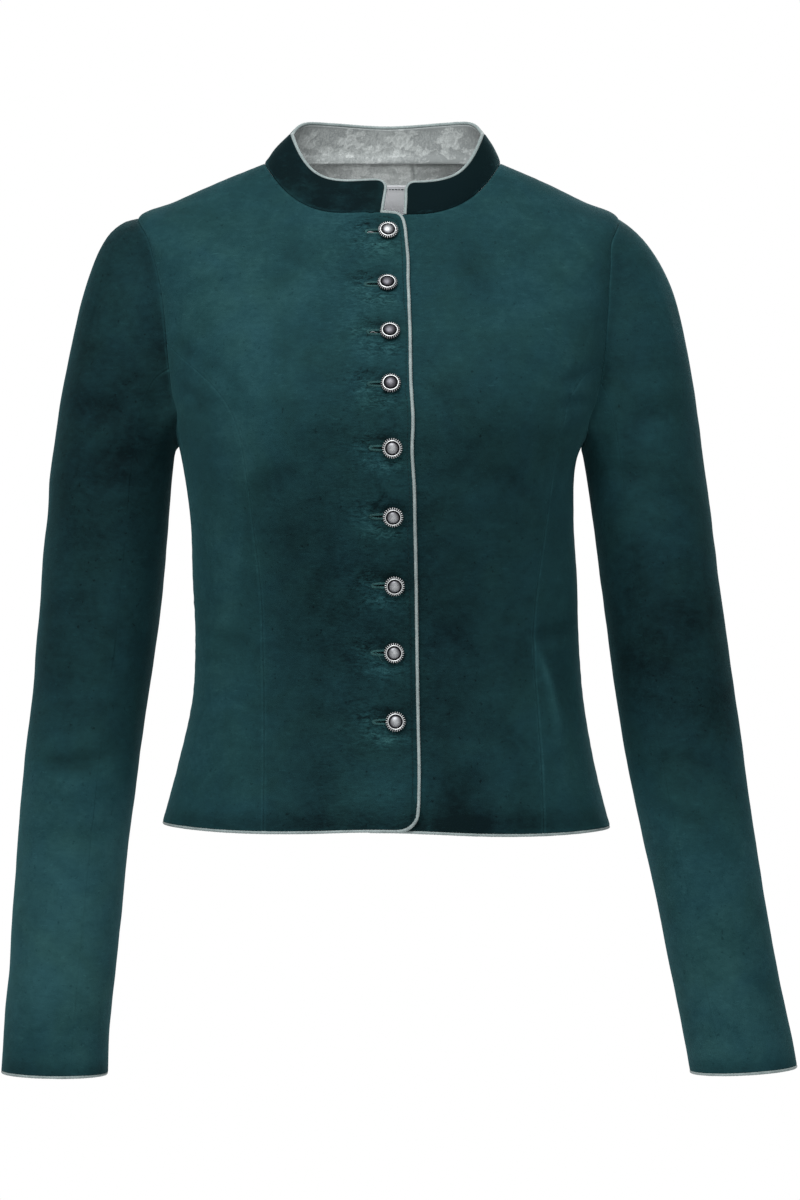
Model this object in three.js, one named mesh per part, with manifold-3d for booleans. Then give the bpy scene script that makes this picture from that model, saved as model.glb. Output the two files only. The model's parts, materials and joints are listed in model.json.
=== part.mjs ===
// A waist-length trachten blazer in velvet, standing hollow as it is when it is worn.
// Millimetres, +Z up. The front faces -Y, the wearer's left side is +X.
// The origin lies where the wearer carries it: midway between the two neck ends of the
// shoulder seams.
//
// The body is one smooth form, a stack of rings from hem to neck. Each panel is a patch of
// that form between two seam lines, given a wall thickness. Sleeves are tubes of tilted
// rings that start on the armhole line, and the stand collar grows from the neck line.

import * as THREE from 'three';
import { mergeVertices } from 'three/addons/utils/BufferGeometryUtils.js';
import Module from 'manifold-3d';

// ---------------------------------------------------------------- driving sizes

const SEAM_GAP = 0.3;           // between two pieces that meet at a seam
const SHELL = 1.8;              // velvet with its interlining
const LINING = 1.0;             // brocade of the collar and the facing
const PATCH = 0.6;              // woven patch at the back neck
const FACING_GAP = 1.0;         // facing and patch lie loose behind the back
const OVERLAP_LIFT = 1.5;       // each front leaves the form by this much where they overlap
const UNDERLAP = 34;            // how far the left front reaches under the right front's edge
const EDGE_PIPING = 1.3;        // radius of the satin cord on collar and front edge
const HEM_PIPING = 1.2;         // radius of the cord under the hem and in the cuffs
const CORD_SIDES = 6;
const EDGE_CORD_STEP = 8;       // length of one straight piece of each cord
const HEM_CORD_STEP = 20;
const CUFF_CORD_STEP = 15;
const CORD_INSET = 0.2;         // the hem's and the cuffs' cords sit this much further in
const PIPING_GAP = 0.45;        // from the cloth's edge to the side of the cord
const HEM_CORNER = 14;          // rounding of the right front's lower corner
const BUTTON_RADIUS = 7.5;
const SHANK_RADIUS = 1.4;
const BUTTONHOLE = { toTheRight: 19, toTheLeft: 2.0, height: 3.6 };
const FACING_RINGS = { back: 3.4, shoulder: 1.3 };   // how many rings deep it reaches
const FACING_START = 94;        // degrees from the centre front, just behind the shoulder seam
const PATCH_SIZE = { width: 54, top: -9, bottom: -42, offset: 8 };

const DEGREE = Math.PI / 180;

function namedRows(columns, rows) {
  return rows.map((row) => Object.fromEntries(columns.map((name, i) => [name, row[i]])));
}

// Rings of the body form. frontZ, sideZ and backZ are the heights of a ring at the centre
// front, the side and the centre back; frontY, sideY and backY are its depths there.
// square is the exponent of its rounded outline, 2 for an ellipse.
const BODY_RINGS = namedRows(
  ['frontZ', 'sideZ', 'backZ', 'middleX', 'halfWidth', 'frontY', 'sideY', 'backY', 'square'],
  [
    [-494, -494, -494, 0.2, 166.4, -114, 2, 117, 2.20],      // hem
    [-450, -450, -450, 0.4, 155.2, -107, 0, 105, 2.20],
    [-400, -400, -400, 1.4, 145.4, -101, -5, 91, 2.20],
    [-355, -355, -355, 0.8, 142.4, -102, -9, 83, 2.20],      // waist
    [-310, -310, -310, -0.8, 142.6, -112, -10, 86, 2.25],
    [-265, -265, -265, -2.9, 142.2, -127, -10, 94, 2.30],
    [-225, -222, -222, -5.0, 146.4, -136, -8, 102, 2.40],    // underarm
    [-193, -190, -186, -1.4, 158.0, -137, -5, 107, 2.45],    // bust
    [-166, -150, -142, -0.8, 167.0, -130, -2, 110, 2.45],
    [-138, -105, -98, -1.2, 172.6, -116, 1, 105, 2.40],
    [-112, -66, -62, -3.2, 177.0, -99, 4, 96, 2.35],
    [-92, -40.6, -37, -5.8, 178.6, -85, 6, 85, 2.30],          // shoulder end
    [-74, -28.5, -22, -5.0, 152.5, -74, 7, 75, 2.25],
    [-57, -14, -7, -3.6, 121.5, -63, 7, 66, 2.20],
    [-42, 0, 6, -2.6, 88.2, -55, 7, 57, 2.15],               // neck line
  ]);
const NECK = BODY_RINGS.length - 1;
const SHOULDER = 11;
const SWEEP = 4;                // how late a ring's height leaves the front's for the side's
const HEM_DROP = { mean: 2.4, towardsLeft: 1.6, quarters: 2.6 };   // how the hem line wavers

// Fullness laid over the rings: the bust, and the shoulder blades behind it.
const FULLNESS = namedRows(
  ['face', 'offsetX', 'height', 'spreadX', 'spreadZ', 'amount'],
  [
    ['front', 76, -192, 44, 46, 7],
    ['back', 72, -120, 42, 52, 5],
  ]);

// Seam lines by height, as distances from the middle plane: right is the wearer's right.
const FRONT_PRINCESS = namedRows(['rightZ', 'rightX', 'leftZ', 'leftX'], [
  [-494, -88.8, -494, 115.0],
  [-446, -88.3, -446, 113.8],
  [-362, -89.2, -363, 108.1],
  [-312, -91.1, -323, 109.4],
  [-253, -98.1, -279, 115.7],
  [-226, -101.6, -235, 121.4],
  [-207, -104.8, -203, 127.0],
  [-178, -118.2, -179, 133.4],
  [-153, -144.0, -162, 145.6],
  [-137, -161.2, -149, 160.8],
]);
const BACK_PRINCESS = namedRows(['rightZ', 'rightX', 'leftZ', 'leftX'], [
  [-494, -92, -494, 92],
  [-430, -82, -430, 84],
  [-355, -74, -355, 77],
  [-290, -80, -290, 80],
  [-225, -96, -225, 90],
  [-185, -116, -185, 108],
  [-150, -144, -150, 137],
  [-124, -165.4, -124, 161.0],
]);
const FRONT_ARMHOLE = namedRows(['rightZ', 'rightX', 'leftZ', 'leftX'], [
  [-60, -175.4, -58, 167.8],
  [-76.5, -170.4, -78, 165.6],
  [-93, -166.2, -98, 164.2],
  [-113, -163.4, -116, 163.2],
  [-137, -161.2, -149, 160.8],          // the princess seam runs in here
  [-160, -158.8, -170, 157.2],
  [-182, -155.6, -188, 152.6],
  [-199, -152.0, -202, 146.4],
]);
const BACK_ARMHOLE = namedRows(['rightZ', 'rightX', 'leftZ', 'leftX'], [
  [-60, -175.6, -58, 166.8],
  [-80, -171.2, -80, 164.8],
  [-100, -168.0, -100, 162.6],
  [-124, -165.4, -124, 161.0],          // the back princess seam runs in here
  [-150, -162.0, -150, 158.0],
  [-176, -157.4, -176, 153.4],
  [-198, -151.6, -198, 146.0],
]);
const SEAM_MEETING = { front: 4, back: 3 };   // armhole row that the princess seam runs into
const UNDERARM_LEVEL = 6.32;            // ring level of the lowest point of the armholes

// Front edge of the right front, by height. It drifts towards the wearer's left.
const FRONT_EDGE = namedRows(['z', 'x'], [
  [-482, 22.6], [-463, 23.4], [-390, 22.2], [-300, 20.9], [-210, 18.6],
  [-137, 16.7], [-80, 15.2], [-55, 13.4], [-47.5, 11.8], [-43.2, 8.0],
]);
const THROAT_ROWS = 2;                  // the last rows of it go round the throat corner
const LEFT_THROAT = [-49, -43];         // heights of the left front's straight throat corner

// Buttons from the throat down, where their shanks stand on the front.
const BUTTONS = namedRows(['x', 'z'], [
  [1.7, -57.1], [1.3, -97.1], [3.2, -133.6], [3.9, -171.3], [5.0, -216.7],
  [5.4, -265.3], [6.5, -314.7], [6.1, -363.7], [7.2, -414.3],
]);

// Stand collar: its upper edge is a ring like those of the body.
const COLLAR_TOP = {
  frontZ: -17.5, sideZ: 22, backZ: 33.2, middleX: 1.0, halfWidth: 72.8,
  frontY: -46, sideY: 5, backY: 47, square: 2.3, frontSweep: 5.5, backSweep: 16, backDip: 2.6,
};
const COLLAR_CORNER = 0.42;      // how far its front corners are rounded, in row steps
const COLLAR_ENDS = { rightX: -4.0, leftX: 15.6 };
const COLLAR_BOW = 1.2;          // how far its middle stands out

// Rings of the sleeves, from the shoulder to the cuff. Each ring is an oval between an outer
// point and an inner point; frontY and backY are how far it bulges to either side of middleY.
const SLEEVE_COLUMNS = ['outerX', 'outerZ', 'innerX', 'innerZ', 'frontY', 'backY', 'middleY'];
const RIGHT_SLEEVE = namedRows(SLEEVE_COLUMNS, [
  [-196, -44.4, -156.2, -214.5, 53, 52, 0],
  [-208, -55.4, -157.0, -216.5, 54.5, 54, 0],
  [-218, -75, -157.6, -219, 55.5, 55, 0],
  [-226, -101, -158.0, -222, 55.5, 55, 0],
  [-235, -140, -158.6, -227, 54.5, 54.5, 0],
  [-243.5, -185, -159.4, -235, 53.5, 54, 0],
  [-249, -226, -160.6, -250, 52.5, 53.5, 0],
  [-253.5, -274, -163.2, -284, 51.0, 52.5, 0],
  [-258.2, -335, -168.8, -341, 49.0, 51.0, 0],
  [-263.7, -400, -178.0, -404, 47.0, 49.5, 0],      // elbow
  [-270.6, -463, -186.4, -466, 45.5, 46.5, -4],
  [-275.2, -530, -193.6, -532, 43.5, 44.0, -10],
  [-279.4, -600, -200.8, -602, 41.5, 41.0, -18],
  [-282.6, -645, -204.4, -647, 39.5, 39.0, -24],
  [-284.2, -673, -205.6, -674.5, 39.0, 38.5, -28],  // cuff
]);
const LEFT_SLEEVE = namedRows(SLEEVE_COLUMNS, [
  [182, -47.4, 145.4, -214.5, 53, 52, 0],
  [192.5, -58, 146.0, -216.5, 54.5, 54, 0],
  [205, -77, 146.6, -219, 55.5, 55, 0],
  [216, -103, 147.2, -222, 55.5, 55, 0],
  [225, -141, 148.0, -227, 54.5, 54.5, 0],
  [232, -186, 149.4, -236, 53.5, 54, 0],
  [237, -226, 151.6, -252, 52.5, 53.5, 0],
  [243.2, -274, 156.4, -286, 51.0, 52.5, 0],
  [251.4, -335, 163.6, -342, 49.0, 51.0, 0],
  [260.6, -400, 172.2, -405, 47.0, 49.5, 0],
  [268.6, -463, 183.4, -467, 45.5, 46.5, -4],
  [278.6, -530, 197.6, -533, 43.5, 44.0, -10],
  [290.6, -600, 211.4, -603, 41.5, 41.0, -18],
  [299.2, -643, 220.0, -647, 39.5, 39.0, -24],
  [303.8, -669, 224.6, -673.5, 39.0, 38.5, -28],
]);

// How finely the pieces are divided.
const ROWS_TO_UNDERARM = 13;     // hem to underarm
const ROWS_UNDERARM = 4;         // underarm to the princess seam, along the armhole
const ROWS_ARMHOLE = 6;          // princess seam to the shoulder, along the armhole
const FRONT_STEPS = [0, 0.03, 0.07, 0.13, 0.26, 0.41, 0.56, 0.71, 0.86, 1];
const BACK_STEPS = 6;
const SIDE_STEPS = 4;
const COLLAR_ROWS = 3;

// ---------------------------------------------------------------- the body form

const lerp = THREE.MathUtils.lerp;
const smoothstep = THREE.MathUtils.smoothstep;

// Smooth curve through evenly spaced values, as in a Catmull-Rom spline.
function smooth(values, at) {
  const last = values.length - 1;
  const i = Math.min(Math.max(Math.floor(at), 0), last - 1);
  const f = at - i;
  const p1 = values[i];
  const p2 = values[i + 1];
  const p0 = i > 0 ? values[i - 1] : 2 * p1 - p2;
  const p3 = i + 2 <= last ? values[i + 2] : 2 * p2 - p1;
  const slope1 = (p2 - p0) / 2;
  const slope2 = (p3 - p1) / 2;
  const rise = p2 - p1;
  const c = 3 * rise - 2 * slope1 - slope2;
  const d = slope1 + slope2 - 2 * rise;
  return p1 + f * (slope1 + f * (c + f * d));
}

function column(rows, name) {
  return rows.map((row) => row[name]);
}

const ringColumns = Object.keys(BODY_RINGS[0]).map((name) => [name, column(BODY_RINGS, name)]);

function ringAt(level) {
  return Object.fromEntries(ringColumns.map(([name, values]) => [name, smooth(values, level)]));
}

// The hem hangs a little lower on the wearer's left and midway between front and side. The
// difference dies out two rings up.
function hemDrop(angle, level) {
  const near = Math.max(0, 1 - level / 2);
  const sag = Math.sin(2 * angle);
  const { mean, towardsLeft, quarters } = HEM_DROP;
  return near * (mean - towardsLeft * Math.sin(angle) - quarters * sag * sag);
}

// Point of a ring. angle is 0 at the centre front, 90 degrees at the wearer's left side,
// -90 at the right side and 180 at the centre back.
function ringPoint(ring, angle, sweep) {
  const front = Math.cos(angle) > 0;
  const depth = front ? ring.sideY - ring.frontY : ring.backY - ring.sideY;
  const across = Math.abs(Math.sin(angle)) / ring.halfWidth;
  const along = Math.abs(Math.cos(angle)) / depth;
  const radius = (across ** ring.square + along ** ring.square) ** (-1 / ring.square);
  const share = Math.min(1, radius * across);
  const height = lerp(front ? ring.frontZ : ring.backZ, ring.sideZ, share ** sweep);
  return new THREE.Vector3(
    ring.middleX + radius * Math.sin(angle),
    ring.sideY - radius * Math.cos(angle),
    height);
}

function fullnessAt(point, angle, middleX) {
  const face = Math.cos(angle) > 0 ? 'front' : 'back';
  const forward = face === 'front' ? -1 : 1;
  let push = 0;
  for (const swell of FULLNESS.filter((row) => row.face === face)) {
    const across = (Math.abs(point.x - middleX) - swell.offsetX) / swell.spreadX;
    const up = (point.z - swell.height) / swell.spreadZ;
    push += swell.amount * Math.exp(-across * across - up * up);
  }
  return forward * push;
}

function formPoint(angle, level) {
  const ring = ringAt(level);
  const point = ringPoint(ring, angle, SWEEP);
  point.y += fullnessAt(point, angle, ring.middleX) * Math.abs(Math.cos(angle)) ** 0.5;
  point.z += hemDrop(angle, level);
  return point;
}

// Outward direction of the form.
function formNormal(angle, level) {
  const step = 0.01;
  const low = Math.max(level - step, 0);
  const high = Math.min(level + step, NECK);
  const around = formPoint(angle + step, level).sub(formPoint(angle - step, level));
  const up = formPoint(angle, high).sub(formPoint(angle, low));
  return around.cross(up).normalize();
}

// The spot {angle, level} of the form that has the given x and z on its front or back.
function spotAt(x, z, face) {
  const heightName = face + 'Z';
  let low = 0;
  let high = NECK;
  let ring = null;
  for (let i = 0; i < 40; i++) {
    const middle = (low + high) / 2;
    ring = ringAt(middle);
    const share = Math.min(1, Math.abs(x - ring.middleX) / ring.halfWidth);
    const height = lerp(ring[heightName], ring.sideZ, share ** SWEEP);
    if (height < z) low = middle;
    else high = middle;
  }
  const across = Math.min(1, Math.abs(x - ring.middleX) / ring.halfWidth);
  const depth = face === 'front' ? ring.sideY - ring.frontY : ring.backY - ring.sideY;
  const y = depth * (1 - across ** ring.square) ** (1 / ring.square);
  const angle = Math.atan2(across * ring.halfWidth, face === 'front' ? y : -y);
  return { angle: x < ring.middleX ? -angle : angle, level: (low + high) / 2 };
}

// ---------------------------------------------------------------- seam lines

// Divides the line through the given (x, z) pairs into equal steps.
function divide(pairs, steps) {
  const curve = new THREE.SplineCurve(pairs.map(([x, z]) => new THREE.Vector2(x, z)));
  return curve.getSpacedPoints(steps).map((p) => [p.x, p.y]);
}

function onFace(pairs, face) {
  return pairs.map(([x, z]) => spotAt(x, z, face));
}

function seamPairs(rows, side) {
  return rows.map((row) => [row[side + 'X'], row[side + 'Z']]);
}

function spotsBetween(from, to, steps) {
  return Array.from({ length: steps + 1 }, (_, i) => ({
    angle: lerp(from.angle, to.angle, i / steps),
    level: lerp(from.level, to.level, i / steps),
  }));
}

// All the seams of one side of the body, as lists of spots that its panels share.
function seamsOf(side) {
  const turn = side === 'left' ? 1 : -1;
  const sideAngle = turn * 90 * DEGREE;
  const shoulderEnd = { angle: sideAngle, level: SHOULDER };
  const underarm = { angle: sideAngle, level: UNDERARM_LEVEL };
  const tip = formPoint(shoulderEnd.angle, shoulderEnd.level);
  const pit = formPoint(underarm.angle, underarm.level);

  function armhole(rows, face) {
    const meeting = SEAM_MEETING[face];
    const pairs = seamPairs(rows, side);
    const upper = [...pairs.slice(0, meeting + 1).reverse(), [tip.x, tip.z]];
    const lower = [[pit.x, pit.z], ...pairs.slice(meeting).reverse()];
    const upperSpots = onFace(divide(upper, ROWS_ARMHOLE), face);
    const lowerSpots = onFace(divide(lower, ROWS_UNDERARM), face);
    upperSpots[ROWS_ARMHOLE] = shoulderEnd;
    lowerSpots[0] = underarm;
    return { upper: upperSpots, lower: lowerSpots };
  }

  function princess(rows, face) {
    const pairs = seamPairs(rows, side);
    return onFace(divide(pairs, ROWS_TO_UNDERARM + ROWS_UNDERARM), face);
  }

  const hemSide = { angle: sideAngle, level: 0 };
  return {
    front: armhole(FRONT_ARMHOLE, 'front'),
    back: armhole(BACK_ARMHOLE, 'back'),
    frontPrincess: princess(FRONT_PRINCESS, 'front'),
    backPrincess: princess(BACK_PRINCESS, 'back'),
    sideSeam: spotsBetween(hemSide, underarm, ROWS_TO_UNDERARM),
    sideAngle,
    turn,
  };
}

// ---------------------------------------------------------------- walls

// Closes the space between two grids of points, outer and inner, into one body. Columns run
// to the right as seen from outside, rows run upwards. Each four-sided cell is split along
// its shorter diagonal.
function wallBetween(outer, inner) {
  const rows = outer.length;
  const columns = outer[0].length;
  const positions = [];
  for (const grid of [outer, inner]) {
    for (const row of grid) for (const p of row) positions.push(p.x, p.y, p.z);
  }
  const index = [];
  const at = (layer, r, c) => layer * rows * columns + r * columns + c;
  const quad = (a, b, c, d) => index.push(a, b, c, a, c, d);
  for (let r = 0; r < rows - 1; r++) {
    for (let c = 0; c < columns - 1; c++) {
      const rising = outer[r][c].distanceTo(outer[r + 1][c + 1]);
      const falling = outer[r][c + 1].distanceTo(outer[r + 1][c]);
      if (rising < falling) {
        quad(at(0, r, c), at(0, r, c + 1), at(0, r + 1, c + 1), at(0, r + 1, c));
        quad(at(1, r + 1, c + 1), at(1, r, c + 1), at(1, r, c), at(1, r + 1, c));
      } else {
        quad(at(0, r, c + 1), at(0, r + 1, c + 1), at(0, r + 1, c), at(0, r, c));
        quad(at(1, r, c + 1), at(1, r, c), at(1, r + 1, c), at(1, r + 1, c + 1));
      }
    }
  }
  const top = rows - 1;
  for (let c = 0; c < columns - 1; c++) {
    quad(at(1, 0, c), at(1, 0, c + 1), at(0, 0, c + 1), at(0, 0, c));
    quad(at(0, top, c), at(0, top, c + 1), at(1, top, c + 1), at(1, top, c));
  }
  const end = columns - 1;
  for (let r = 0; r < rows - 1; r++) {
    quad(at(1, r, 0), at(0, r, 0), at(0, r + 1, 0), at(1, r + 1, 0));
    quad(at(0, r, end), at(1, r, end), at(1, r + 1, end), at(0, r + 1, end));
  }
  const geometry = new THREE.BufferGeometry();
  geometry.setAttribute('position', new THREE.Float32BufferAttribute(positions, 3));
  geometry.setIndex(index);
  geometry.computeVertexNormals();
  return geometry;
}

function nudge(point, towards, distance) {
  const step = towards.clone().sub(point);
  return step.setLength(Math.min(distance, step.length() * 0.4)).add(point);
}

// Draws the rim of a grid in by half a seam gap, so that its neighbours stay clear of it.
function drawIn(grid, distance = SEAM_GAP / 2) {
  const rows = grid.length;
  const columns = grid[0].length;
  const result = grid.map((row) => row.map((p) => p.clone()));
  for (let c = 0; c < columns; c++) {
    result[0][c].copy(nudge(grid[0][c], grid[1][c], distance));
    result[rows - 1][c].copy(nudge(grid[rows - 1][c], grid[rows - 2][c], distance));
  }
  for (let r = 0; r < rows; r++) {
    const left = result[r][0].clone();
    const right = result[r][columns - 1].clone();
    result[r][0].copy(nudge(left, result[r][1], distance));
    result[r][columns - 1].copy(nudge(right, result[r][columns - 2], distance));
  }
  return result;
}

// How far a front stands off the form at x: the right front over it, the left front under.
function overlapLift(side, x) {
  if (side === 'right') return OVERLAP_LIFT * smoothstep(x, -42, -14);
  return -OVERLAP_LIFT * (1 - smoothstep(x, 24, 52));
}

function lifted(spot, lift) {
  return formPoint(spot.angle, spot.level).addScaledVector(formNormal(spot.angle, spot.level), lift);
}

// A panel between two seams with the same number of spots, from lower edge to upper edge.
// side names a front, which leaves the form where the two overlap. shape may move a finished
// point, given its row.
function panel(leftSeam, rightSeam, fractions, { side = null, shape = null } = {}) {
  const spots = leftSeam.map((left, r) => fractions.map((f) => ({
    angle: lerp(left.angle, rightSeam[r].angle, f),
    level: lerp(left.level, rightSeam[r].level, f),
  })));
  const outer = spots.map((row, r) => row.map((spot) => {
    const onForm = formPoint(spot.angle, spot.level);
    const lift = side ? overlapLift(side, onForm.x) : 0;
    const point = lifted(spot, lift);
    if (shape) shape(point, r);
    return point;
  }));
  const drawn = drawIn(outer);
  const inner = drawn.map((row, r) => row.map((p, c) => {
    const { angle, level } = spots[r][c];
    return p.clone().addScaledVector(formNormal(angle, level), -SHELL);
  }));
  return { geometry: wallBetween(drawn, inner), outer, spots };
}

function evenly(steps) {
  return Array.from({ length: steps + 1 }, (_, i) => i / steps);
}

// ---------------------------------------------------------------- the body panels

const rightSeams = seamsOf('right');
const leftSeams = seamsOf('left');
const PANEL_ROWS = ROWS_TO_UNDERARM + ROWS_UNDERARM;
const STRAIGHT_ROWS = PANEL_ROWS - THROAT_ROWS - 1;

// Spots of the neck line from the collar's end at the throat to the shoulder seam.
function neckLine(side) {
  const ring = ringAt(NECK);
  const angle = Math.atan2(COLLAR_ENDS[side + 'X'] - ring.middleX, ring.sideY - ring.frontY);
  const shoulder = side === 'left' ? 90 * DEGREE : -90 * DEGREE;
  return spotsBetween({ angle, level: NECK }, { angle: shoulder, level: NECK }, ROWS_ARMHOLE);
}

// Spots of the neck line from the centre back to the shoulder seam.
function backNeckLine(side) {
  const sign = side === 'left' ? 1 : -1;
  const nape = { angle: sign * 180 * DEGREE, level: NECK };
  return spotsBetween(nape, { angle: sign * 90 * DEGREE, level: NECK }, ROWS_ARMHOLE + 1);
}

// Front edges of the centre fronts: up the edge, round the throat corner, along the neck line.
function rightFrontEdge() {
  const pairs = FRONT_EDGE.map((row) => [row.x, row.z]);
  const straight = divide(pairs.slice(0, -THROAT_ROWS), STRAIGHT_ROWS);
  const corner = pairs.slice(-THROAT_ROWS);
  const spots = onFace([...straight, ...corner], 'front');
  return [...spots, ...neckLine('right')];
}

function leftFrontEdge() {
  const pairs = FRONT_EDGE.slice(0, -THROAT_ROWS).map((row) => [row.x - UNDERLAP, row.z]);
  const straight = divide(pairs, STRAIGHT_ROWS);
  const [topX] = straight[straight.length - 1];
  const corner = LEFT_THROAT.map((z) => [topX, z]);
  return [...onFace([...straight, ...corner], 'front'), ...neckLine('left')];
}

// Rounds the lower corner of the right front: lifts its hem towards the front edge.
function roundHemCorner(point, row) {
  if (row > 0) return;
  const edge = FRONT_EDGE[0].x;
  const inside = Math.max(0, HEM_CORNER - Math.abs(edge - point.x));
  point.z += HEM_CORNER - Math.sqrt(HEM_CORNER ** 2 - Math.min(inside, HEM_CORNER) ** 2);
}

// The edges reach down to the hem itself.
const frontRightEdge = rightFrontEdge();
const hemCorner = spotAt(FRONT_EDGE[0].x, BODY_RINGS[0].frontZ, 'front');
frontRightEdge[0] = { angle: hemCorner.angle, level: 0 };
const frontLeftEdge = leftFrontEdge();
frontLeftEdge[0] = { angle: frontLeftEdge[0].angle, level: 0 };

function centreFront(side) {
  const seams = side === 'right' ? rightSeams : leftSeams;
  const edge = side === 'right' ? frontRightEdge : frontLeftEdge;
  const outer = [...seams.frontPrincess, ...seams.front.upper.slice(1)];
  const shape = side === 'right' ? roundHemCorner : null;
  if (side === 'right') {
    const mirrored = FRONT_STEPS.map((f) => 1 - f).reverse();
    return panel(outer, edge, mirrored, { side, shape });
  }
  return panel(edge, outer, FRONT_STEPS, { side });
}

// The side panels end just short of the point where they meet the armhole.
function shortOfPoint(seam) {
  const last = seam.length - 1;
  const reach = 0.88;            // of the last step
  const end = {
    angle: lerp(seam[last - 1].angle, seam[last].angle, reach),
    level: lerp(seam[last - 1].level, seam[last].level, reach),
  };
  return [...seam.slice(0, last), end];
}

function sidePanel(side, face) {
  const seams = side === 'right' ? rightSeams : leftSeams;
  const princess = shortOfPoint(face === 'front' ? seams.frontPrincess : seams.backPrincess);
  const lower = face === 'front' ? seams.front.lower : seams.back.lower;
  const outer = shortOfPoint([...seams.sideSeam, ...lower.slice(1)]);
  const princessFirst = (side === 'left') === (face === 'front');
  return princessFirst
    ? panel(princess, outer, evenly(SIDE_STEPS))
    : panel(outer, princess, evenly(SIDE_STEPS));
}

function centreBack(side) {
  const seams = side === 'right' ? rightSeams : leftSeams;
  const neck = backNeckLine(side);
  const hem = { angle: neck[0].angle, level: 0 };
  const middle = [...spotsBetween(hem, neck[0], PANEL_ROWS - 1), ...neck.slice(1)];
  const outer = [...seams.backPrincess, ...seams.back.upper.slice(1)];
  const [first, second] = side === 'right' ? [middle, outer] : [outer, middle];
  return panel(first, second, evenly(BACK_STEPS));
}

// ---------------------------------------------------------------- sleeves

// Armhole line of one side as a closed loop: from the shoulder end down the front, up the back.
function armholeLoop(seams) {
  const down = [...seams.front.upper].reverse();
  const forward = [...down, ...[...seams.front.lower].reverse().slice(1)];
  const upward = [...seams.back.lower.slice(1), ...seams.back.upper.slice(1, -1)];
  return [...forward, ...upward];
}

const SLEEVE_DRAW_IN = 0.2;      // each side of a sleeve's own seams
const ARMHOLE_GAP = 0.4;         // between the armhole line and the sleeve's first ring
const SLEEVE_SEAMS = [7, 13];    // loop columns where the under sleeve begins and ends
const ARMHOLE_FADE = [0.8, 0.6, 0.4, 0.22, 0.1];   // how much of the armhole's shape each ring keeps

function sleeveGrid(side) {
  const seams = side === 'right' ? rightSeams : leftSeams;
  const table = side === 'right' ? RIGHT_SLEEVE : LEFT_SLEEVE;
  const away = side === 'right' ? -1 : 1;
  const loop = armholeLoop(seams);
  const start = loop.map((spot) => formPoint(spot.angle, spot.level));
  const lengths = start.map((p, i) => p.distanceTo(start[(i + 1) % start.length]));
  const half = loop.length / 2;
  const share = (from, to, i) => {
    const total = lengths.slice(from, to).reduce((sum, d) => sum + d, 0);
    return lengths.slice(from, i).reduce((sum, d) => sum + d, 0) / total;
  };
  const turns = loop.map((_, i) => {
    const turned = i <= half ? share(0, half, i) : 1 + share(half, loop.length, i);
    return turned * Math.PI;
  });
  const clear = new THREE.Vector3(away * ARMHOLE_GAP, 0, 0);
  const first = start.map((p) => p.clone().add(clear));
  const oval = (row, turn) => {
    const outward = (1 + Math.cos(turn)) / 2;
    const sideways = Math.sin(turn);
    return new THREE.Vector3(
      lerp(row.innerX, row.outerX, outward),
      row.middleY - sideways * (sideways > 0 ? row.frontY : row.backY),
      lerp(row.innerZ, row.outerZ, outward));
  };
  const armhole = {
    outerX: start[0].x, outerZ: start[0].z, innerX: start[half].x, innerZ: start[half].z,
    frontY: table[0].frontY, backY: table[0].backY, middleY: 0,
  };
  const ownShape = start.map((p, i) => p.clone().sub(oval(armhole, turns[i])));
  const rings = table.map((row, k) => turns.map((turn, i) => {
    const kept = k < ARMHOLE_FADE.length ? ARMHOLE_FADE[k] : 0;
    return oval(row, turn).addScaledVector(ownShape[i], kept);
  }));
  return [first, ...rings];
}

// Outward directions of a grid that closes around a tube.
function tubeNormals(grid, flip) {
  const rows = grid.length;
  const columns = grid[0].length;
  return grid.map((row, r) => row.map((_, c) => {
    const around = grid[r][(c + 1) % columns].clone().sub(grid[r][(c + columns - 1) % columns]);
    const down = grid[Math.min(r + 1, rows - 1)][c].clone().sub(grid[Math.max(r - 1, 0)][c]);
    return around.cross(down).normalize().multiplyScalar(flip);
  }));
}

function sleevePieces(side) {
  const flip = side === 'right' ? -1 : 1;
  const grid = sleeveGrid(side);
  const normals = tubeNormals(grid, flip);
  const inner = grid.map((row, r) => row.map((p, c) => (
    p.clone().addScaledVector(normals[r][c], -SHELL))));
  const columns = grid[0].length;
  const [from, to] = SLEEVE_SEAMS;
  const width = to - from;
  const underColumns = Array.from({ length: width + 1 }, (_, i) => from + i);
  const upperColumns = Array.from({ length: columns - width + 1 }, (_, i) => (to + i) % columns);
  const piece = (order) => {
    const seen = side === 'left' ? [...order].reverse() : order;
    const pick = (source) => {
      const strip = source.map((row) => seen.map((c) => row[c]));
      return drawIn(strip, SLEEVE_DRAW_IN).reverse();
    };
    return wallBetween(pick(grid), pick(inner));
  };
  const last = grid.length - 1;
  return {
    upper: piece(upperColumns),
    under: piece(underColumns),
    cuff: grid[last],
    cuffNormals: normals[last],
  };
}

// ---------------------------------------------------------------- collar, facing, patch

// The collar stands on the spots of the neck line that the panels below it share.
function collarAngles() {
  const left = neckLine('left').map((spot) => spot.angle);
  const backLeft = backNeckLine('left').map((spot) => spot.angle).reverse().slice(1);
  const backRight = backNeckLine('right').map((spot) => spot.angle + 2 * Math.PI).slice(1);
  const right = neckLine('right').map((spot) => spot.angle + 2 * Math.PI).reverse().slice(1);
  return [...left, ...backLeft, ...backRight, ...right];
}

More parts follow.
